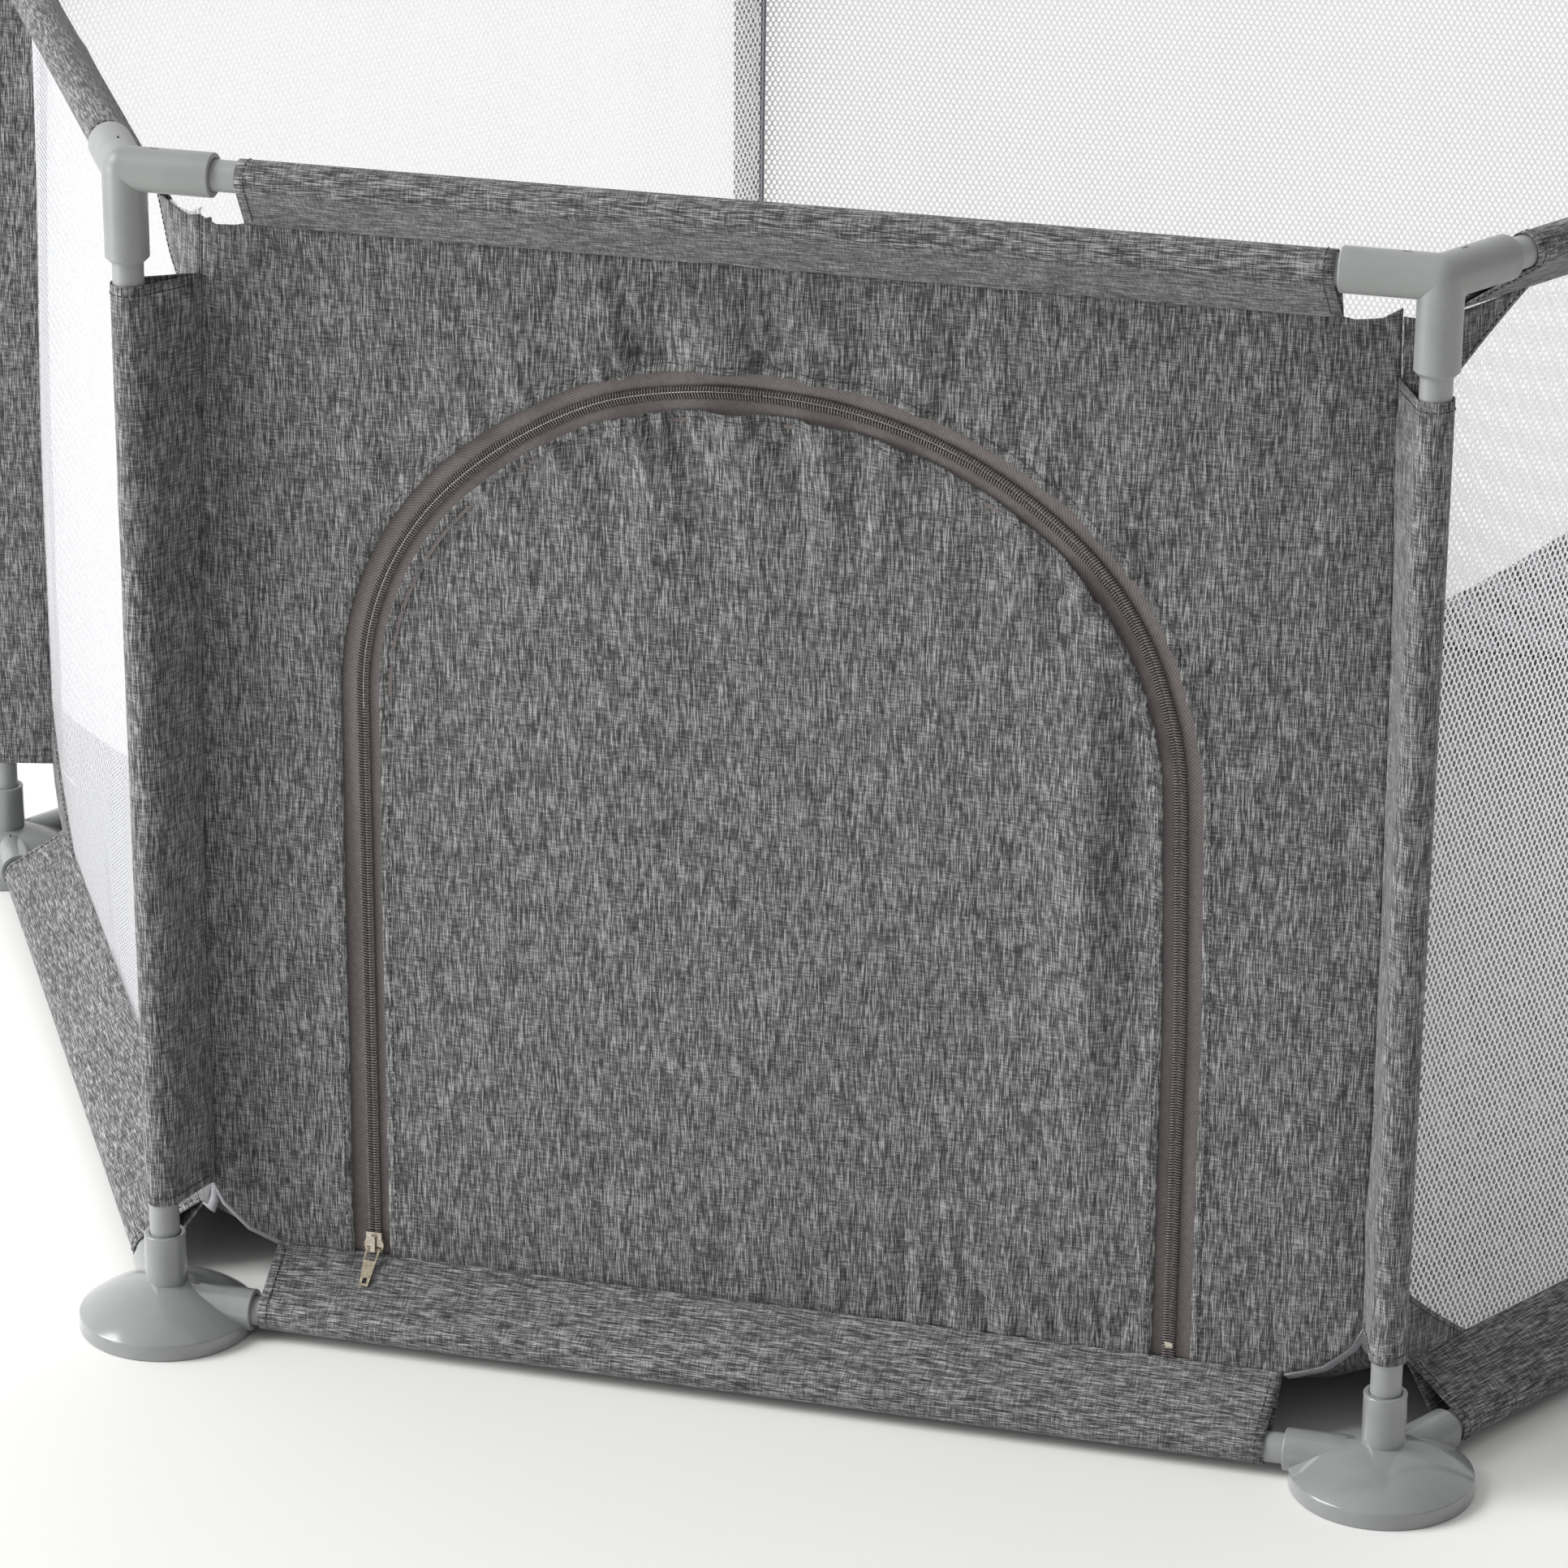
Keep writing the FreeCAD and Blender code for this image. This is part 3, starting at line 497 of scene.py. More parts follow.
def plated_zinc(name, dark, pale, roughness):
    """Die-cast zinc with tumbled nickel plate: bright on its faces, duller where fingers wear it."""
    material, tree = new_material(name)
    place = add(tree, "ShaderNodeTexCoord")
    wear = add(
        tree, "ShaderNodeTexNoise", None, {"Scale": 1 / 0.0025, "Detail": 4.0, "Roughness": 0.6},
        {"Vector": place.outputs["Object"]}
    )
    colour = add(tree, "ShaderNodeValToRGB", None, None, {0: wear.outputs[0]})
    set_ramp(colour, [(0.3, dark), (0.65, pale)])
    gloss = add(
        tree, "ShaderNodeMapRange", None, {"To Min": roughness, "To Max": roughness + 0.2},
        {0: wear.outputs[0]}
    )
    relief = add(
        tree, "ShaderNodeBump", None, {"Strength": 0.15, "Distance": 0.0001}, {"Height": wear.outputs[0]}
    )
    plate = add(
        tree, "ShaderNodeBsdfPrincipled", None, {"Metallic": 1.0},
        {"Base Color": colour.outputs[0], "Roughness": gloss.outputs[0], "Normal": relief.outputs[0]}
    )
    add(tree, "ShaderNodeOutputMaterial", None, None, {"Surface": plate.outputs[0]})
    return material


CANVAS = heather_canvas(
    "heather grey Oxford canvas", ("#343435", "#4c4c4d", "#636364", "#7f7f7f", "#ababab")
)
FLOOR_CANVAS = heather_canvas(
    "heather grey floor canvas", ("#323233", "#49494a", "#5f5f60", "#787878", "#9e9e9e")
)
NET = warp_knit_net()
BINDING = woven_band("grey twill binding", "#6d6d73", "#96969c", 0.0012, 0.85)
HEM_TWILL = woven_band("pale twill hem tape", "#7e7e82", "#a8a8ad", 0.0011, 0.85)
ZIP_TAPE = woven_band("taupe woven zip tape", "#655e5d", "#837b7a", 0.0010, 0.7)
ZIP_COIL = plain_fibre("drawn nylon zip coil", "#5d5654", "#7f7774", 0.20, 0.002)
THREAD = plain_fibre("spun polyester thread", "#333335", "#4b4b4e", 0.75, 0.001)
JOINT_PLASTIC = moulded_plastic("satin moulded polypropylene", "#8c8e8d", "#969897", 0.38, 0.0, 0.10)
FOOT_PLASTIC = moulded_plastic("glossy moulded ABS", "#888a8a", "#929494", 0.16, 0.5, 0.04)
PAD_FOAM = plain_fibre("dark EVA foam", "#2b2b2c", "#3d3d3e", 0.9, 0.0015)
TUBE_STEEL = coated_steel()
SLIDER_PLATE = plated_zinc("bright nickel plated zinc", "#b4aa9c", "#e0d8cb", 0.22)
TAB_PLATE = plated_zinc("antique nickel plated zinc", "#8b8270", "#b5ab97", 0.28)


# Frame: the moulded joints, feet and tubes keep their made shapes


def finish_node(node, material):
    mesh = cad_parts[node].data
    mesh.materials.clear()
    mesh.materials.append(material)


for corner in CORNERS:
    finish_node(f"top_connector_{corner}", JOINT_PLASTIC)
    finish_node(f"foot_{corner}", FOOT_PLASTIC)
    finish_node(f"foot_pad_{corner}", PAD_FOAM)
    finish_node(f"post_{corner}", TUBE_STEEL)
for side in SIDES:
    finish_node(f"top_rail_{side}", TUBE_STEEL)
    finish_node(f"bottom_rail_{side}", TUBE_STEEL)
finish_node("zip_slider", SLIDER_PLATE)
finish_node("zip_pull_tab", TAB_PLATE)


# The zip's line


def door_line():
    """(points, outward directions) along the zip's centre line, from the left leg's foot over the arch to
    the right leg's foot. The sewn line wanders a few millimetres from a true arch."""
    side_run, top_run = DOOR_HALF - SHOULDER_R, DOOR_RISE - SHOULDER_R
    drop = (side_run**2 - top_run**2) / (2 * top_run)
    crown_r = DOOR_RISE + drop
    lean = math.atan2(side_run, drop)
    left = [(-DOOR_HALF, BOTTOM_Z - SPRING_Z), (-DOOR_HALF, 0.0)]
    for a in np.linspace(math.pi / 2, lean, 40)[1:]:
        left.append((-side_run - SHOULDER_R * math.sin(a), SHOULDER_R * math.cos(a)))
    for a in np.linspace(lean, 0, 40)[1:]:
        left.append((-crown_r * math.sin(a), crown_r * math.cos(a) - drop))
    line = even(np.array(left + [(-x, z) for x, z in reversed(left[:-1])]), 0.002)
    way = np.gradient(line, axis=0)
    way /= np.linalg.norm(way, axis=1, keepdims=True)
    out = np.stack([-way[:, 1], way[:, 0]], 1)
    share = np.linspace(0, 1, len(line))
    places = (0, 0.12, 0.25, 0.30, 0.36, 0.43, 0.50, 0.58, 0.66, 0.71, 0.76, 0.85, 1)
    wander = (0, 0, 0, 0.0015, 0.0035, 0.0065, 0.001, -0.001, -0.0045, -0.0065, -0.003, 0, 0)
    line = line + out * np.interp(share, places, wander)[:, None]
    for _ in range(30):
        line[1:-1] = (line[:-2] + 2 * line[1:-1] + line[2:]) / 4
    return line + (DOOR_X, SPRING_Z), out


ZIP_LINE, ZIP_OUT = door_line()
ZIP_ALONG = np.concatenate([[0], np.cumsum(np.linalg.norm(np.diff(ZIP_LINE, axis=0), axis=1))])


def zip_offset(off):
    return ZIP_LINE + ZIP_OUT * off


def near_zip(x, z):
    """(distance outwards from the zip's centre line, place along it) for each point of the front."""
    off, along = np.empty(len(x)), np.empty(len(x))
    for first in range(0, len(x), 4000):
        chunk = slice(first, first + 4000)
        apart = np.stack([x[chunk], z[chunk]], 1)[:, None] - ZIP_LINE[None, ::3]
        nearest = (apart**2).sum(2).argmin(1)
        gap = apart[np.arange(len(nearest)), nearest]
        off[chunk] = (gap * ZIP_OUT[::3][nearest]).sum(1)
        along[chunk] = ZIP_ALONG[::3][nearest]
    return off, along


def front_relief(x, z):
    """How far the front's cloth stands out from its plane: slack, puckers along the zip and the seams."""
    x, z = np.asarray(x, float), np.asarray(z, float)
    off, along = near_zip(x, z)
    share = along / ZIP_ALONG[-1]
    beyond = np.maximum(np.abs(off) - np.where(off > 0, WALL_EDGE_OFF, FLAP_EDGE_OFF), 0)
    rise = 0.0026 * soft_noise(x / 0.10, z / 0.20, 1) + 0.0009 * soft_noise(x / 0.035, z / 0.09, 2)
    # The tape is eased into the curve, so the cloth gathers in short folds across it
    gather = 0.25 + bump_at(
        share, 0.47, 0.09
    ) + 0.8 * bump_at(share, 0.68, 0.06) + 0.4 * bump_at(share, 0.33, 0.06)
    folds = np.sin(2 * math.pi * (along / 0.017 + 0.9 * soft_noise(along / 0.03, beyond / 0.03, 3)))
    rise += 0.0036 * gather * fade(beyond, 0.030) * folds * (0.6 + 0.4 * soft_noise(along / 0.02, 0, 4))
    long_folds = np.sin(2 * math.pi * (x / 0.046 + 0.7 * soft_noise(x / 0.08, z / 0.12, 5)))
    rise += 0.0038 * gather * fade(beyond, 0.06) * long_folds * bump_at(share, 0.5, 0.22)
    # Seams draw the cloth up too, most of all under the right half of the door
    below = z - BOTTOM_Z
    low_folds = np.sin(2 * math.pi * (x / 0.019 + 0.8 * soft_noise(x / 0.04, z / 0.05, 6)))
    rise += 0.0032 * (0.25 + bump_at(x, 0.12, 0.09)) * fade(below, 0.034) * low_folds
    above = TOP_Z - z
    top_folds = np.sin(2 * math.pi * ((x + 0.5 * above) / 0.012 + 0.6 * soft_noise(x / 0.03, 0, 7)))
    rise += 0.0004 * fade(above, 0.012) * top_folds
    # Long soft drags from the corners and down the right leg of the door
    rise += 0.0016 * bump_at((x + SEAM_HALF) - 0.6 * above, 0.02, 0.02) * fade(above, 0.12)
    rise -= 0.0016 * bump_at((SEAM_HALF - x) - 0.6 * above, 0.02, 0.02) * fade(above, 0.12)
    rise += 0.0055 * bump_at(x, 0.170, 0.016) * bump_at(z, 0.33, 0.16)
    rise -= 0.0040 * bump_at(x, 0.192, 0.012) * bump_at(z, 0.33, 0.14)
    held = np.clip(np.minimum.reduce([SEAM_HALF - np.abs(x), above, np.maximum(below, 0)]) / 0.02, 0, 1)
    edge_lift = 0.0014 * fade(beyond, 0.0032)
    # The cloth lies over the zip's tape, so it can't sink below it along the zip
    lowest = -0.006 * (1 - fade(beyond, 0.012))
    return np.maximum(rise * (0.25 + 0.75 * held), lowest) + edge_lift


def corner_draw(z):
    """How far the corner seam is drawn inwards at each height."""
    return CORNER_DRAW * np.clip((z - DRAW_FROM_Z) / (TOP_Z - DRAW_FROM_Z), 0, 1) ** 1.5


def drawn_in(x, y, z):
    """Points of a wall with its top corners drawn inwards by the sleeves round the posts."""
    near = np.clip(1 - (SEAM_HALF - np.abs(x)) / DRAW_REACH, 0, 1) ** 1.5
    draw = near * corner_draw(z)
    return np.stack(
        [x - np.sign(x) * draw * math.sin(math.radians(30)), y + draw * math.cos(math.radians(30)), z], -1
    )


def front_points(x, z):
    return drawn_in(x, WALL_Y - front_relief(x, z), z)


def corner_end(sign):
    """The wall's corner outline from the top sleeve's end down to the bottom sleeve's end."""
    lift = 0.003 if sign > 0 else -0.002
    return [
        (sign * TOP_SLEEVE_HALF, TOP_Z),
        (sign * (TOP_SLEEVE_HALF + 0.010), TOP_Z - 0.0025),
        (sign * (SEAM_HALF - 0.012), TOP_Z - 0.0035 + lift / 2),
        (sign * SEAM_HALF, TOP_Z + lift),
        (sign * SEAM_HALF, BOTTOM_Z + NOTCH_RISE),
        (sign * (SEAM_HALF - 0.006), BOTTOM_Z + 0.022),
        (sign * (SEAM_HALF - 0.021), BOTTOM_Z + 0.008),
        (sign * LOW_SLEEVE_HALF, BOTTOM_Z),
    ]


WALL_LOOP = corner_end(-1)[::-1] + corner_end(1)


def stiffened(piece, thick):
    """Gives a cut edge the thickness of its folded cloth."""
    fold = piece.modifiers.new("folded edge", "SOLIDIFY")
    fold.thickness, fold.offset = thick, 0.0
    return piece


def sew_front_wall():
    opening = zip_offset(WALL_EDGE_OFF)
    outline = np.concatenate([np.array(WALL_LOOP), opening[::-1]])
    flat, faces = cut_cloth(outline, CANVAS_STEP)
    wall = new_piece("front_wall_canvas", front_points(flat[:, 0], flat[:, 1]), faces, CANVAS, uv=flat)
    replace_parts(stiffened(wall, CANVAS_FOLD), "front_wall")
    line = zip_offset(TAPE_EDGE_OFF)
    row = front_points(line[:, 0], line[:, 1]) - (0, 0.0006, 0)
    stitches("front_wall_zip_topstitch", row, (0, -1, 0), THREAD)
    z = np.linspace(BOTTOM_Z + 0.036, TOP_Z - 0.001, 80)
    for sign, end in ((-1, "left"), (1, "right")):
        seam = front_points(np.full(len(z), sign * (SEAM_HALF - 0.0006)), z) - (0, 0.0007, 0)
        stitches(f"front_wall_{end}_seam", seam, (0, -1, 0), THREAD, gap=0.0003)


def hang_on_door(piece):
    """Keeps a piece of the door where it stands, with its placement baked into its points."""
    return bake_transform(piece)


def sew_door_flap():
    outline = zip_offset(-FLAP_EDGE_OFF)
    flat, faces = cut_cloth(outline, CANVAS_STEP)
    flap = new_piece(
        "door_flap_canvas", front_points(flat[:, 0], flat[:, 1]), faces, CANVAS, None,
        uv=flat + (0.013, 0.021)
    )
    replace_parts(hang_on_door(stiffened(flap, CANVAS_FOLD)), "door_flap", "door_threshold")
    line = zip_offset(-FLAP_EDGE_OFF - 0.0038)
    row = front_points(line[:, 0], line[:, 1]) - (0, 0.0006, 0)
    hang_on_door(stitches("door_flap_topstitch", row, (0, -1, 0), THREAD, body=None))


def zip_tape(name, near, far, node, on_door):
    offs = np.linspace(near, far, 6)
    columns = [zip_offset(off) for off in offs]
    points = np.stack(
        [np.stack([c[:, 0], np.full(len(c), TAPE_Y + 0.0003), c[:, 1]], 1) for c in columns], 1
    )
    points[..., 1] -= 0.0003 * soft_noise(ZIP_ALONG[:, None] / 0.02, offs[None] / 0.01, 11)
    uv = np.stack(np.broadcast_arrays(offs[None], ZIP_ALONG[:, None]), -1)
    tape = new_piece(
        name, points, grid_faces(len(ZIP_LINE), len(offs)), ZIP_TAPE, None if on_door else "enclosure", uv
    )
    if on_door:
        hang_on_door(tape)
    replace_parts(tape, node)


def zip_coil(name, side, node, on_door):
    """One row of the zip: a nylon filament wound flat, whose turns slant across the tape."""
    pitch, wide, deep, filament = 0.0016, 0.0018, 0.00085, 0.00043
    per_turn = 10
    turns = int(ZIP_ALONG[-1] / pitch)
    t = np.arange(turns * per_turn) / per_turn
    along = (t + (0.5 if side > 0 else 0)) * pitch
    phase = 2 * math.pi * t * side
    place = np.stack([np.interp(along, ZIP_ALONG, ZIP_LINE[:, i]) for i in (0, 1)], 1)
    out = np.stack([np.interp(along, ZIP_ALONG, ZIP_OUT[:, i]) for i in (0, 1)], 1)
    off = side * 0.0017 + wide * np.cos(phase)
    flat = place + out * off[:, None]
    y = (COIL_LOW.y + COIL_HIGH.y) / 2 + deep * np.sin(phase)
    line = np.stack([flat[:, 0], y, flat[:, 1]], 1)
    way = np.gradient(line, axis=0)
    way /= np.linalg.norm(way, axis=1, keepdims=True)
    first = np.cross(way, (0, 1, 0))
    first /= np.maximum(np.linalg.norm(first, axis=1, keepdims=True), 1e-9)
    second = np.cross(way, first)
    ring = [
        line + filament * (
            math.cos(a) * first + math.sin(a) * second
        ) for a in np.linspace(0, 2 * math.pi, 6)[:-1]
    ]
    coil = new_piece(
        name, np.stack(ring, 1), grid_faces(len(line), 5, ring=True), ZIP_COIL,
        None if on_door else "enclosure"
    )
    if on_door:
        hang_on_door(coil)
    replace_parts(coil, node)
    # A dark strip of thread colour inside the coil: partly its real sewn core, and partly painted shade, made
    # as wide as the coil so the gaps between the turns show dark
    core_and_gap_shade_y = (COIL_LOW.y + COIL_HIGH.y) / 2 + 0.0006
    near, far = (np.insert(zip_offset(side * off), 1, core_and_gap_shade_y, 1) for off in (0.0002, 0.0036))
    core_and_gap_shade = strip(f"{name}_core", near, far, THREAD, body=None if on_door else "enclosure")
    if on_door:
        hang_on_door(core_and_gap_shade)


def zip_stops():
    """Nickel clips that close the zip's two rows together at each end of its line."""
    low, high = Vector((-0.0024, -0.0013, -0.0022)), Vector((0.0024, 0.0011, 0.0022))
    for side, row in (("left", 4), ("right", -5)):
        middle = Vector((ZIP_LINE[row, 0], (COIL_LOW.y + COIL_HIGH.y) / 2, ZIP_LINE[row, 1]))
        corners = [
            middle + Vector((x, y, z)) for z in (low.z, high.z) for x,
            y in ((low.x, low.y), (high.x, low.y), (high.x, high.y), (low.x, high.y))
        ]
        faces = [(3, 2, 1, 0), (4, 5, 6, 7)] + [(i, (i + 1) % 4, 4 + (i + 1) % 4, 4 + i) for i in range(4)]
        clip = new_piece(f"zip_stop_{side}", corners, faces, SLIDER_PLATE)
        rounding = clip.modifiers.new("rounded", "BEVEL")
        rounding.width, rounding.segments = 0.0007, 3


# Sleeves


def sleeve_section(reach):
    """A flat sleeve's section from its seam, round the tube and back: (points, outward directions), with
    the first axis towards the seam."""
    tip = reach
    lean = math.asin((SLEEVE_R - 0.0010) / tip)
    outs = [(math.sin(lean), math.cos(lean))] * 9
    shares = np.linspace(0, 1, 9)
    points = [
        (
            (1 - s) * (tip + outs[0][0] * 0.001) + s * outs[0][0] * SLEEVE_R,
            (1 - s) * outs[0][1] * 0.001 + s * outs[0][1] * SLEEVE_R
        ) for s in shares
    ]
    start = math.pi / 2 - lean
    for a in np.linspace(start, 2 * math.pi - start, 18)[1:-1]:
        points.append((SLEEVE_R * math.cos(a), SLEEVE_R * math.sin(a)))
        outs.append((math.cos(a), math.sin(a)))
    points += [(x, -y) for x, y in points[:9][::-1]]
    outs += [(x, -y) for x, y in outs[:9][::-1]]
    return np.array(points), np.array(outs)


def sew_sleeve(name, start, along, towards, ends, depth, crease, seed, node, draw=None):
    """A tunnel of canvas round a tube, sewn flat to its seam, with turned hems at both ends. ends gives
    each end's place along the tube from start, at the tube and at the seam."""
    length = ends[1][0] - ends[0][0]
    along = np.array(along, float)
    towards = np.array(towards, float)
    reach = np.linalg.norm(towards)
    flat = towards / reach
    side = np.cross(along, flat)
    section, outs = sleeve_section(reach)
    around = np.concatenate([[0], np.cumsum(np.linalg.norm(np.diff(section, axis=0), axis=1))])
    hem = 0.007
    inner = [hem, 0.0008, 0.0]
    rows = np.concatenate(
        [inner, np.linspace(0, length, int(length / 0.005))[0:], length - np.array(inner[::-1])]
    )
    sink = np.zeros(len(rows))
    sink[[0, 1, -2, -1]] = 0.0011
    sink[[2, -3]] = 0.0006
    towards_seam = np.clip(section[:, 0] / reach, 0, 1)
    s, a = rows[:, None], around[None]
    lift = depth * 0.6 * soft_noise(s / 0.16, a / 0.05, seed)
    lift = lift + depth * soft_noise(
        s / crease + a / 0.05, a / 0.045, seed + 1
    ) * (0.3 + 0.9 * towards_seam[None])
    lift = lift + depth * 0.45 * soft_noise(
        s / (crease * 0.35) - a / 0.02, a / 0.03, seed + 2
    ) * bump_at(towards_seam[None], 0.85, 0.25)
    lift = lift * np.clip(np.minimum(s + 0.008, length - s + 0.008) / 0.03, 0.3, 1)
    lift = lift * np.where(section[:, 0] < 0, 0.25, 1.0)[None] * (
        1 - bump_at(towards_seam, 1.0, 0.08)
    )[None]
    lift = np.maximum(lift, -0.0035 * towards_seam[None])
    low, high = (near + (far - near) * towards_seam[None] for near, far in ends)
    moved = low + (high - low) * s / length
    radial = lift - sink[:, None]
    points = np.asarray(start, float) + moved[..., None] * along
    reached = section[None, :, 0] + outs[None, :, 0] * radial
    if draw:
        reached = reached + draw(points[..., 2]) * towards_seam[None]
    points = points + reached[..., None] * flat
    points = points + (section[None, :, 1] + outs[None, :, 1] * radial)[..., None] * side
    uv = np.stack(np.broadcast_arrays(a + seed * 0.037, s + seed * 0.051), -1)
    sleeve = new_piece(name, points, grid_faces(len(rows), len(section)), CANVAS, uv=uv)
    if node:
        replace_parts(sleeve, node)
    normals = outs[:, :1] * flat + outs[:, 1:] * side
    for end, row in (("start", 4), ("end", len(rows) - 5)):
        line = (points[row] + normals * 0.0003)[1:-1]
        stitches(f"{name}_hem_{end}", line, normals[1:-1], THREAD)


def sew_sleeves():
    seam = Vector((-SEAM_HALF - POST.x, WALL_Y - POST.y, 0))
    post_ends = ((POST_SLEEVE_LOW, POST_SLEEVE_LOW), (POST_SLEEVE_HIGH, POST_SLEEVE_HIGH - 0.005))
    for k, side in enumerate(SIDES):
        for level, rail_z, seam_z, ends, depth in (
            ("top", TOP_RAIL_Z, TOP_Z, TOP_SLEEVE_ENDS, 0.0011),
            ("bottom", LOW_RAIL_Z, BOTTOM_Z, LOW_SLEEVE_ENDS, 0.0012)
        ):
            start = turned((0, POST.y, rail_z), k)
            towards = turned((0, WALL_Y - POST.y, seam_z - rail_z), k)
            node = f"{level}_sleeves" if k == 0 else None
            sew_sleeve(
                f"{level}_sleeve_{side}", start, turned((1, 0, 0), k), towards, ends, depth, 0.075,
                20 + 3 * k, node
            )
    for k, corner in enumerate(CORNERS):
        start = turned((POST.x, POST.y, 0), k)
        sew_sleeve(
            f"post_sleeve_cloth_{corner}", start, (0, 0, 1), turned(seam, k), post_ends, 0.0021, 0.034,
            50 + 3 * k, f"post_sleeve_{corner}", corner_draw,
        )


# Net walls, corner gussets and seam bindings


def net_relief(x, z, seed):
    """The net's slack between its seams."""
    held = np.clip(np.minimum.reduce([SEAM_HALF - np.abs(x), TOP_Z - z, z - BOTTOM_Z]) / 0.06, 0, 1)
    return held * (
        0.0030 * soft_noise(x / 0.22, z / 0.26, seed) + 0.0012 * soft_noise(x / 0.05, z / 0.20, seed + 1)
    )


def net_points(x, z, k):
    return turned(drawn_in(x, WALL_Y - net_relief(x, z, 70 + 2 * k), z), k)


def gusset_outline(sign, top, size):
    """A corner gusset: two seams and a slanting edge bowed a little towards the corner."""
    corner = np.array([sign * SEAM_HALF, TOP_Z if top else BOTTOM_Z])
    along = corner - (sign * size[0], 0)
    down = corner + (0, -size[1] if top else size[1])
    middle = (along + down) / 2 + (corner - (along + down) / 2) * 0.06
    t = np.linspace(0, 1, 12)[:, None]
    edge = (1 - t) ** 2 * along + 2 * t * (1 - t) * (2 * middle - (along + down) / 2) + t**2 * down
    if top:
        ends = [
            (sign * SEAM_HALF, TOP_Z - 0.001), (sign * (SEAM_HALF - 0.012), TOP_Z - 0.0035),
            (sign * (TOP_SLEEVE_HALF + 0.010), TOP_Z - 0.0025)
        ]
    else:
        ends = [
            (sign * SEAM_HALF, BOTTOM_Z + NOTCH_RISE), (sign * (SEAM_HALF - 0.021), BOTTOM_Z + 0.008),
            (sign * LOW_SLEEVE_HALF, BOTTOM_Z)
        ]
    return np.concatenate([edge, np.array(ends)]), edge


def sew_net_walls():
    for k, side in enumerate(SIDES[1:], start=1):
        outline = np.array(WALL_LOOP)
        flat, faces = cut_cloth(outline, NET_STEP)
        wall = new_piece(f"net_wall_{side}", net_points(flat[:, 0], flat[:, 1], k), faces, NET, uv=flat)
        if side == "left_front":
            stiffened(wall, NET_YARN)  # at a slant the yarn's thickness closes the holes
        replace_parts(wall, f"mesh_wall_{side}")
        outwards = turned((0, -1, 0), k)
        for place, sign, top in (
            ("top_left", -1, True), ("top_right", 1, True), ("low_left", -1, False), ("low_right", 1, False)
        ):
            size = TOP_GUSSET if top else LOW_GUSSET
            if (side, place) in (("back", "low_left"), ("right_back", "low_right")):
                size = HIGH_GUSSET
            shape, edge = gusset_outline(sign, top, size)
            flat, faces = cut_cloth(shape, GUSSET_STEP)
            points = net_points(flat[:, 0], flat[:, 1], k) + outwards * 0.0008
            gusset = new_piece(
                f"gusset_{side}_{place}", points, faces, CANVAS, uv=flat * (1, -1) + (0.4 * k, 0.3)
            )
            stiffened(gusset, GUSSET_FOLD)
            if (k, place) == (1, "top_left"):
                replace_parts(gusset, "corner_gussets")
            size = shape.max(0) - shape.min(0)
            corner = np.array([sign * SEAM_HALF, TOP_Z if top else BOTTOM_Z])
            inset = edge + (corner - edge) * 0.05
            row = net_points(inset[:, 0], inset[:, 1], k) + outwards * 0.0013
            stitches(f"gusset_{side}_{place}_topstitch", row, outwards, THREAD)


def strip(name, left, right, material, layers=3, body="enclosure"):
    """A narrow band between two lines with as many points each."""
    left, right = np.asarray(left, float), np.asarray(right, float)
    shares = np.linspace(0, 1, layers)[None, :, None]
    points = left[:, None] * (1 - shares) + right[:, None] * shares
    along = np.concatenate([[0], np.cumsum(np.linalg.norm(np.diff(left, axis=0), axis=1))])
    wide = np.linalg.norm(right - left, axis=1).mean()
    uv = np.stack(np.broadcast_arrays(shares[..., 0] * wide, along[:, None]), -1)
    return new_piece(name, points, grid_faces(len(left), layers), material, body, uv)


def sew_bindings():
    """Twill binding folded over each corner seam's raw edges inside, and hem tape along the notches."""
    z = np.linspace(BOTTOM_Z + NOTCH_RISE, TOP_Z - 0.004, 60)
    for k, corner in enumerate(CORNERS):
        seam = drawn_in(np.full(len(z), 0.0004 - SEAM_HALF), np.full(len(z), WALL_Y + 0.0015), z)
        wobble = 0.0006 * soft_noise(z / 0.05, 0, 90 + k)
        inner = seam + np.stack([0.0026 + wobble, 0.0045 + wobble, 0 * z], -1)
        stiffened(
                strip(f"corner_binding_{corner}", turned(seam, k), turned(inner, k), BINDING), 0.0014
            )
    for k, side in enumerate(SIDES):
        for sign, end in ((-1, "left"), (1, "right")):
            notch = spaced(
                [p for p in WALL_LOOP if p[0] * sign > 0 and p[1] <= BOTTOM_Z + NOTCH_RISE + 0.0001], 0.003
            )
            top_line = np.stack(
                [notch[:, 0], np.full(len(notch), WALL_Y - 0.0012), notch[:, 1] - 0.0005], -1
            )
            low_line = np.stack(
                [notch[:, 0] + sign * 0.0022, np.full(len(notch), WALL_Y + 0.0025), notch[:, 1] - 0.0045],
                -1
            )
            hem = strip(f"notch_hem_{side}_{end}", turned(top_line, k), turned(low_line, k), HEM_TWILL)
            stiffened(hem, 0.0008)


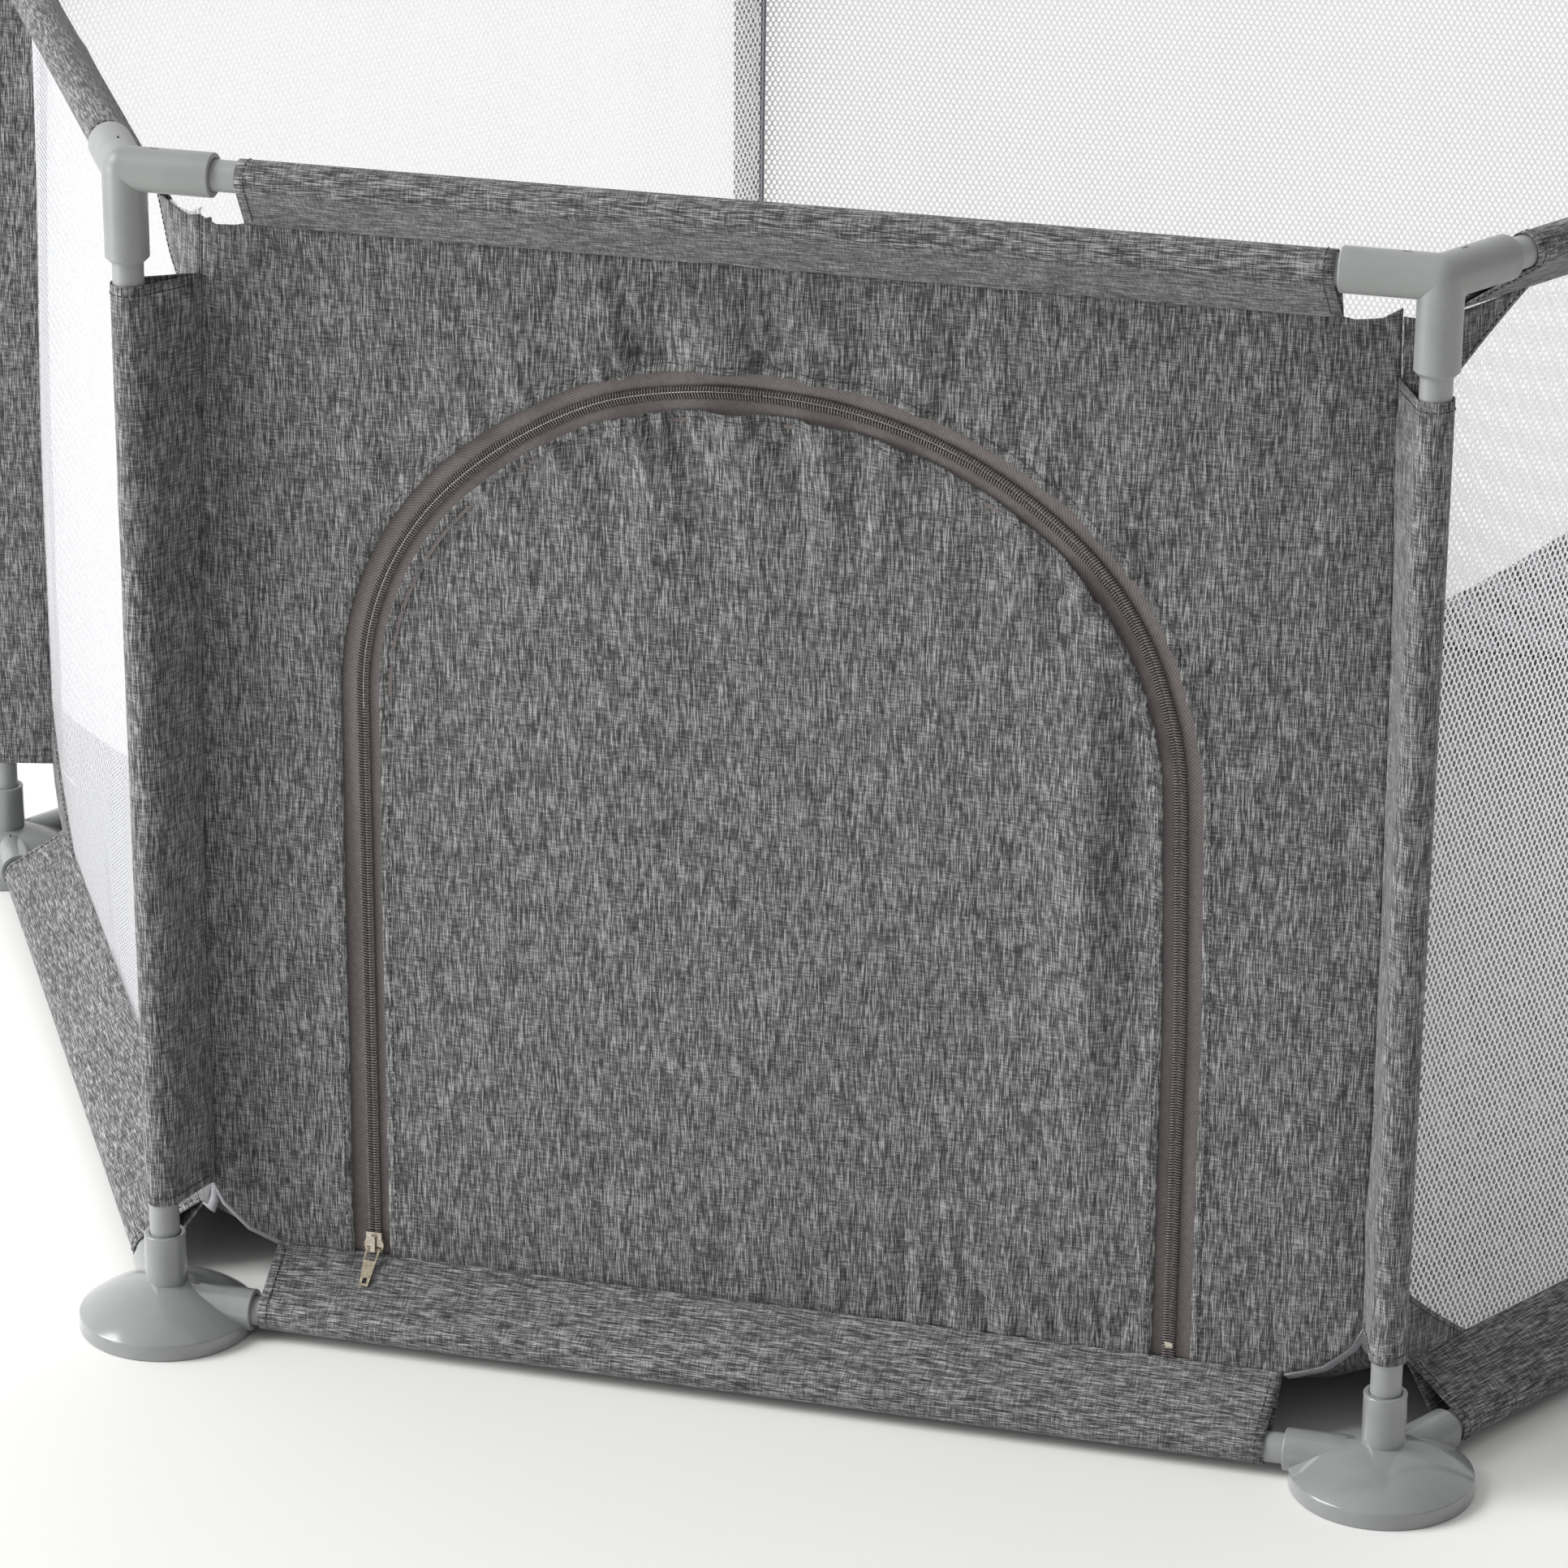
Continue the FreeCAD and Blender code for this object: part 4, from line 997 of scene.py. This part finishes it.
def sew_floor():
    """Floor cloth: flat on the ground, lifting all round to the walls' lower seams and up to the corners."""
    inset = 0.0015
    apothem, reach = -WALL_Y - inset, (SEAM_HALF - inset * 0.6) * 2
    loop = np.array(
        [
            (
                reach * math.cos(math.radians(60 * i - 120)), reach * math.sin(math.radians(60 * i - 120))
            ) for i in range(6)
        ]
    )
    flat, faces = cut_cloth(loop, FLOOR_STEP)
    x, y = flat.T
    to_side = np.stack(
        [
            apothem + (
                x * -math.sin(math.radians(60 * k)) + y * math.cos(math.radians(60 * k))
            ) for k in range(6)
        ]
    )
    along = np.stack(
        [np.abs(x * math.cos(math.radians(60 * k)) + y * math.sin(math.radians(60 * k))) for k in range(6)]
    )
    nearest = to_side.argmin(0)
    pick = np.arange(len(x))
    run, place = np.maximum(to_side[nearest, pick], 0), along[nearest, pick]
    rim = BOTTOM_Z - 0.001 + np.interp(
        place, (LOW_SLEEVE_HALF, SEAM_HALF - 0.021, SEAM_HALF - 0.006, SEAM_HALF),
        (0, 0.008, 0.022, NOTCH_RISE)
    )
    share = np.clip(1 - run / (0.095 + 0.012 * soft_noise(place / 0.12, nearest, 95)), 0, 1)
    ground = 0.0016 + 0.0022 * np.clip(
        soft_noise(x / 0.16, y / 0.16, 96) + 0.2, 0, 1
    ) * np.clip(run / 0.1, 0, 1)
    z = ground + (rim - ground) * share**1.5 + 0.0015 * soft_noise(
        place / 0.035, run / 0.08, 97
    ) * np.clip(run / 0.03, 0, 1) * fade(run, 0.06)
    cloth = new_piece("floor_canvas", np.stack([x, y, z], -1), faces, FLOOR_CANVAS, uv=flat)
    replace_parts(cloth, "floor_cloth")


# Camera, light and floor


CAMERA_AT = (0.7471, -3.2835, 1.4848)
CAMERA_TURN = (-0.267, 0.382, 0.006)  # yaw, pitch and roll in radians
SENSOR, LENS = 36.0, 131.48
KEY_FROM, SOFTBOX_AT = Vector((-1.1, -0.35, 1.0)), Vector((-1.9, -1.5, 0.55))
SOFTBOX_AIM = Vector((0, -0.5, 0.3))


def place_camera():
    data = bpy.data.cameras.new("camera")
    data.sensor_width, data.lens = SENSOR, LENS
    data.clip_start, data.clip_end = 0.05, 60.0
    camera = bpy.data.objects.new("camera", data)
    scene.collection.objects.link(camera)
    yaw, pitch, roll = CAMERA_TURN
    ahead = Vector((math.sin(yaw) * math.cos(pitch), math.cos(yaw) * math.cos(pitch), -math.sin(pitch)))
    level = Vector((math.cos(yaw), -math.sin(yaw), 0))
    over = level.cross(ahead)
    right = math.cos(roll) * level + math.sin(roll) * over
    up = math.cos(roll) * over - math.sin(roll) * level
    turn = Matrix((right, up, -ahead)).transposed()
    camera.matrix_world = Matrix.Translation(CAMERA_AT) @ turn.to_4x4()
    scene.camera = camera


def place_lights():
    world = bpy.data.worlds.new("white studio")
    scene.world = world
    world.use_nodes = True
    tree = world.node_tree
    tree.nodes.clear()
    place = add(tree, "ShaderNodeTexCoord")
    parts = add(tree, "ShaderNodeSeparateXYZ", None, None, {0: place.outputs["Generated"]})
    from_left = add(
        tree, "ShaderNodeMath", {"operation": "MULTIPLY_ADD"}, {1: -0.38, 2: 0.66}, {0: parts.outputs[0]}
    )
    from_back = add(
        tree, "ShaderNodeMath", {"operation": "MULTIPLY_ADD"}, {1: 0.24},
        {0: parts.outputs[1], 2: from_left.outputs[0]}
    )
    sky = add(
        tree, "ShaderNodeBackground", None, {"Color": (1, 1, 1, 1)}, {"Strength": from_back.outputs[0]}
    )
    add(tree, "ShaderNodeOutputWorld", None, None, {"Surface": sky.outputs[0]})
    data = bpy.data.lights.new("big soft key", "SUN")
    data.energy, data.angle = 2.05, math.radians(30)
    key = bpy.data.objects.new("big soft key", data)
    scene.collection.objects.link(key)
    key.rotation_euler = KEY_FROM.to_track_quat("Z", "Y").to_euler()
    data = bpy.data.lights.new("low softbox", "AREA")
    data.energy, data.size = 17.0, 0.9
    box = bpy.data.objects.new("low softbox", data)
    scene.collection.objects.link(box)
    turn = (SOFTBOX_AT - SOFTBOX_AIM).to_track_quat("Z", "Y").to_matrix()
    box.matrix_world = Matrix.Translation(SOFTBOX_AT) @ turn.to_4x4()


def lay_floor():
    material, tree = new_material("pale seamless paper")
    place = add(tree, "ShaderNodeTexCoord")
    tooth = add(
        tree, "ShaderNodeTexNoise", None, {"Scale": 1 / 0.4, "Detail": 2.0},
        {"Vector": place.outputs["Object"]}
    )
    colour = add(tree, "ShaderNodeValToRGB", None, None, {0: tooth.outputs[0]})
    set_ramp(colour, [(0.3, "#eeeeec"), (0.7, "#f0f0ee")])
    paper = add(
        tree, "ShaderNodeBsdfPrincipled", None, {"Roughness": 0.95, "Specular IOR Level": 0.1},
        {"Base Color": colour.outputs[0]}
    )
    add(tree, "ShaderNodeOutputMaterial", None, None, {"Surface": paper.outputs[0]})
    half = 30.0
    mesh = bpy.data.meshes.new("studio floor")
    mesh.from_pydata(
        [(-half, -half, 0), (half, -half, 0), (half, half, 0), (-half, half, 0)], [], [(0, 1, 2, 3)]
    )
    mesh.materials.append(material)
    floor = bpy.data.objects.new("studio floor", mesh)
    scene.collection.objects.link(floor)


place_camera()
place_lights()
lay_floor()
scene.view_settings.view_transform = "Standard"
sew_front_wall()
sew_door_flap()
zip_tape("zip_tape_wall_side", 0.0004, TAPE_EDGE_OFF, "zip_tape_outer", False)
zip_tape("zip_tape_door_side", -0.0004, -TAPE_EDGE_OFF, "zip_tape_inner", True)
zip_coil("zip_coil_wall_side", 1, "zip_coil_outer", False)
zip_coil("zip_coil_door_side", -1, "zip_coil_inner", True)
zip_stops()
sew_sleeves()
sew_net_walls()
sew_bindings()
sew_floor()
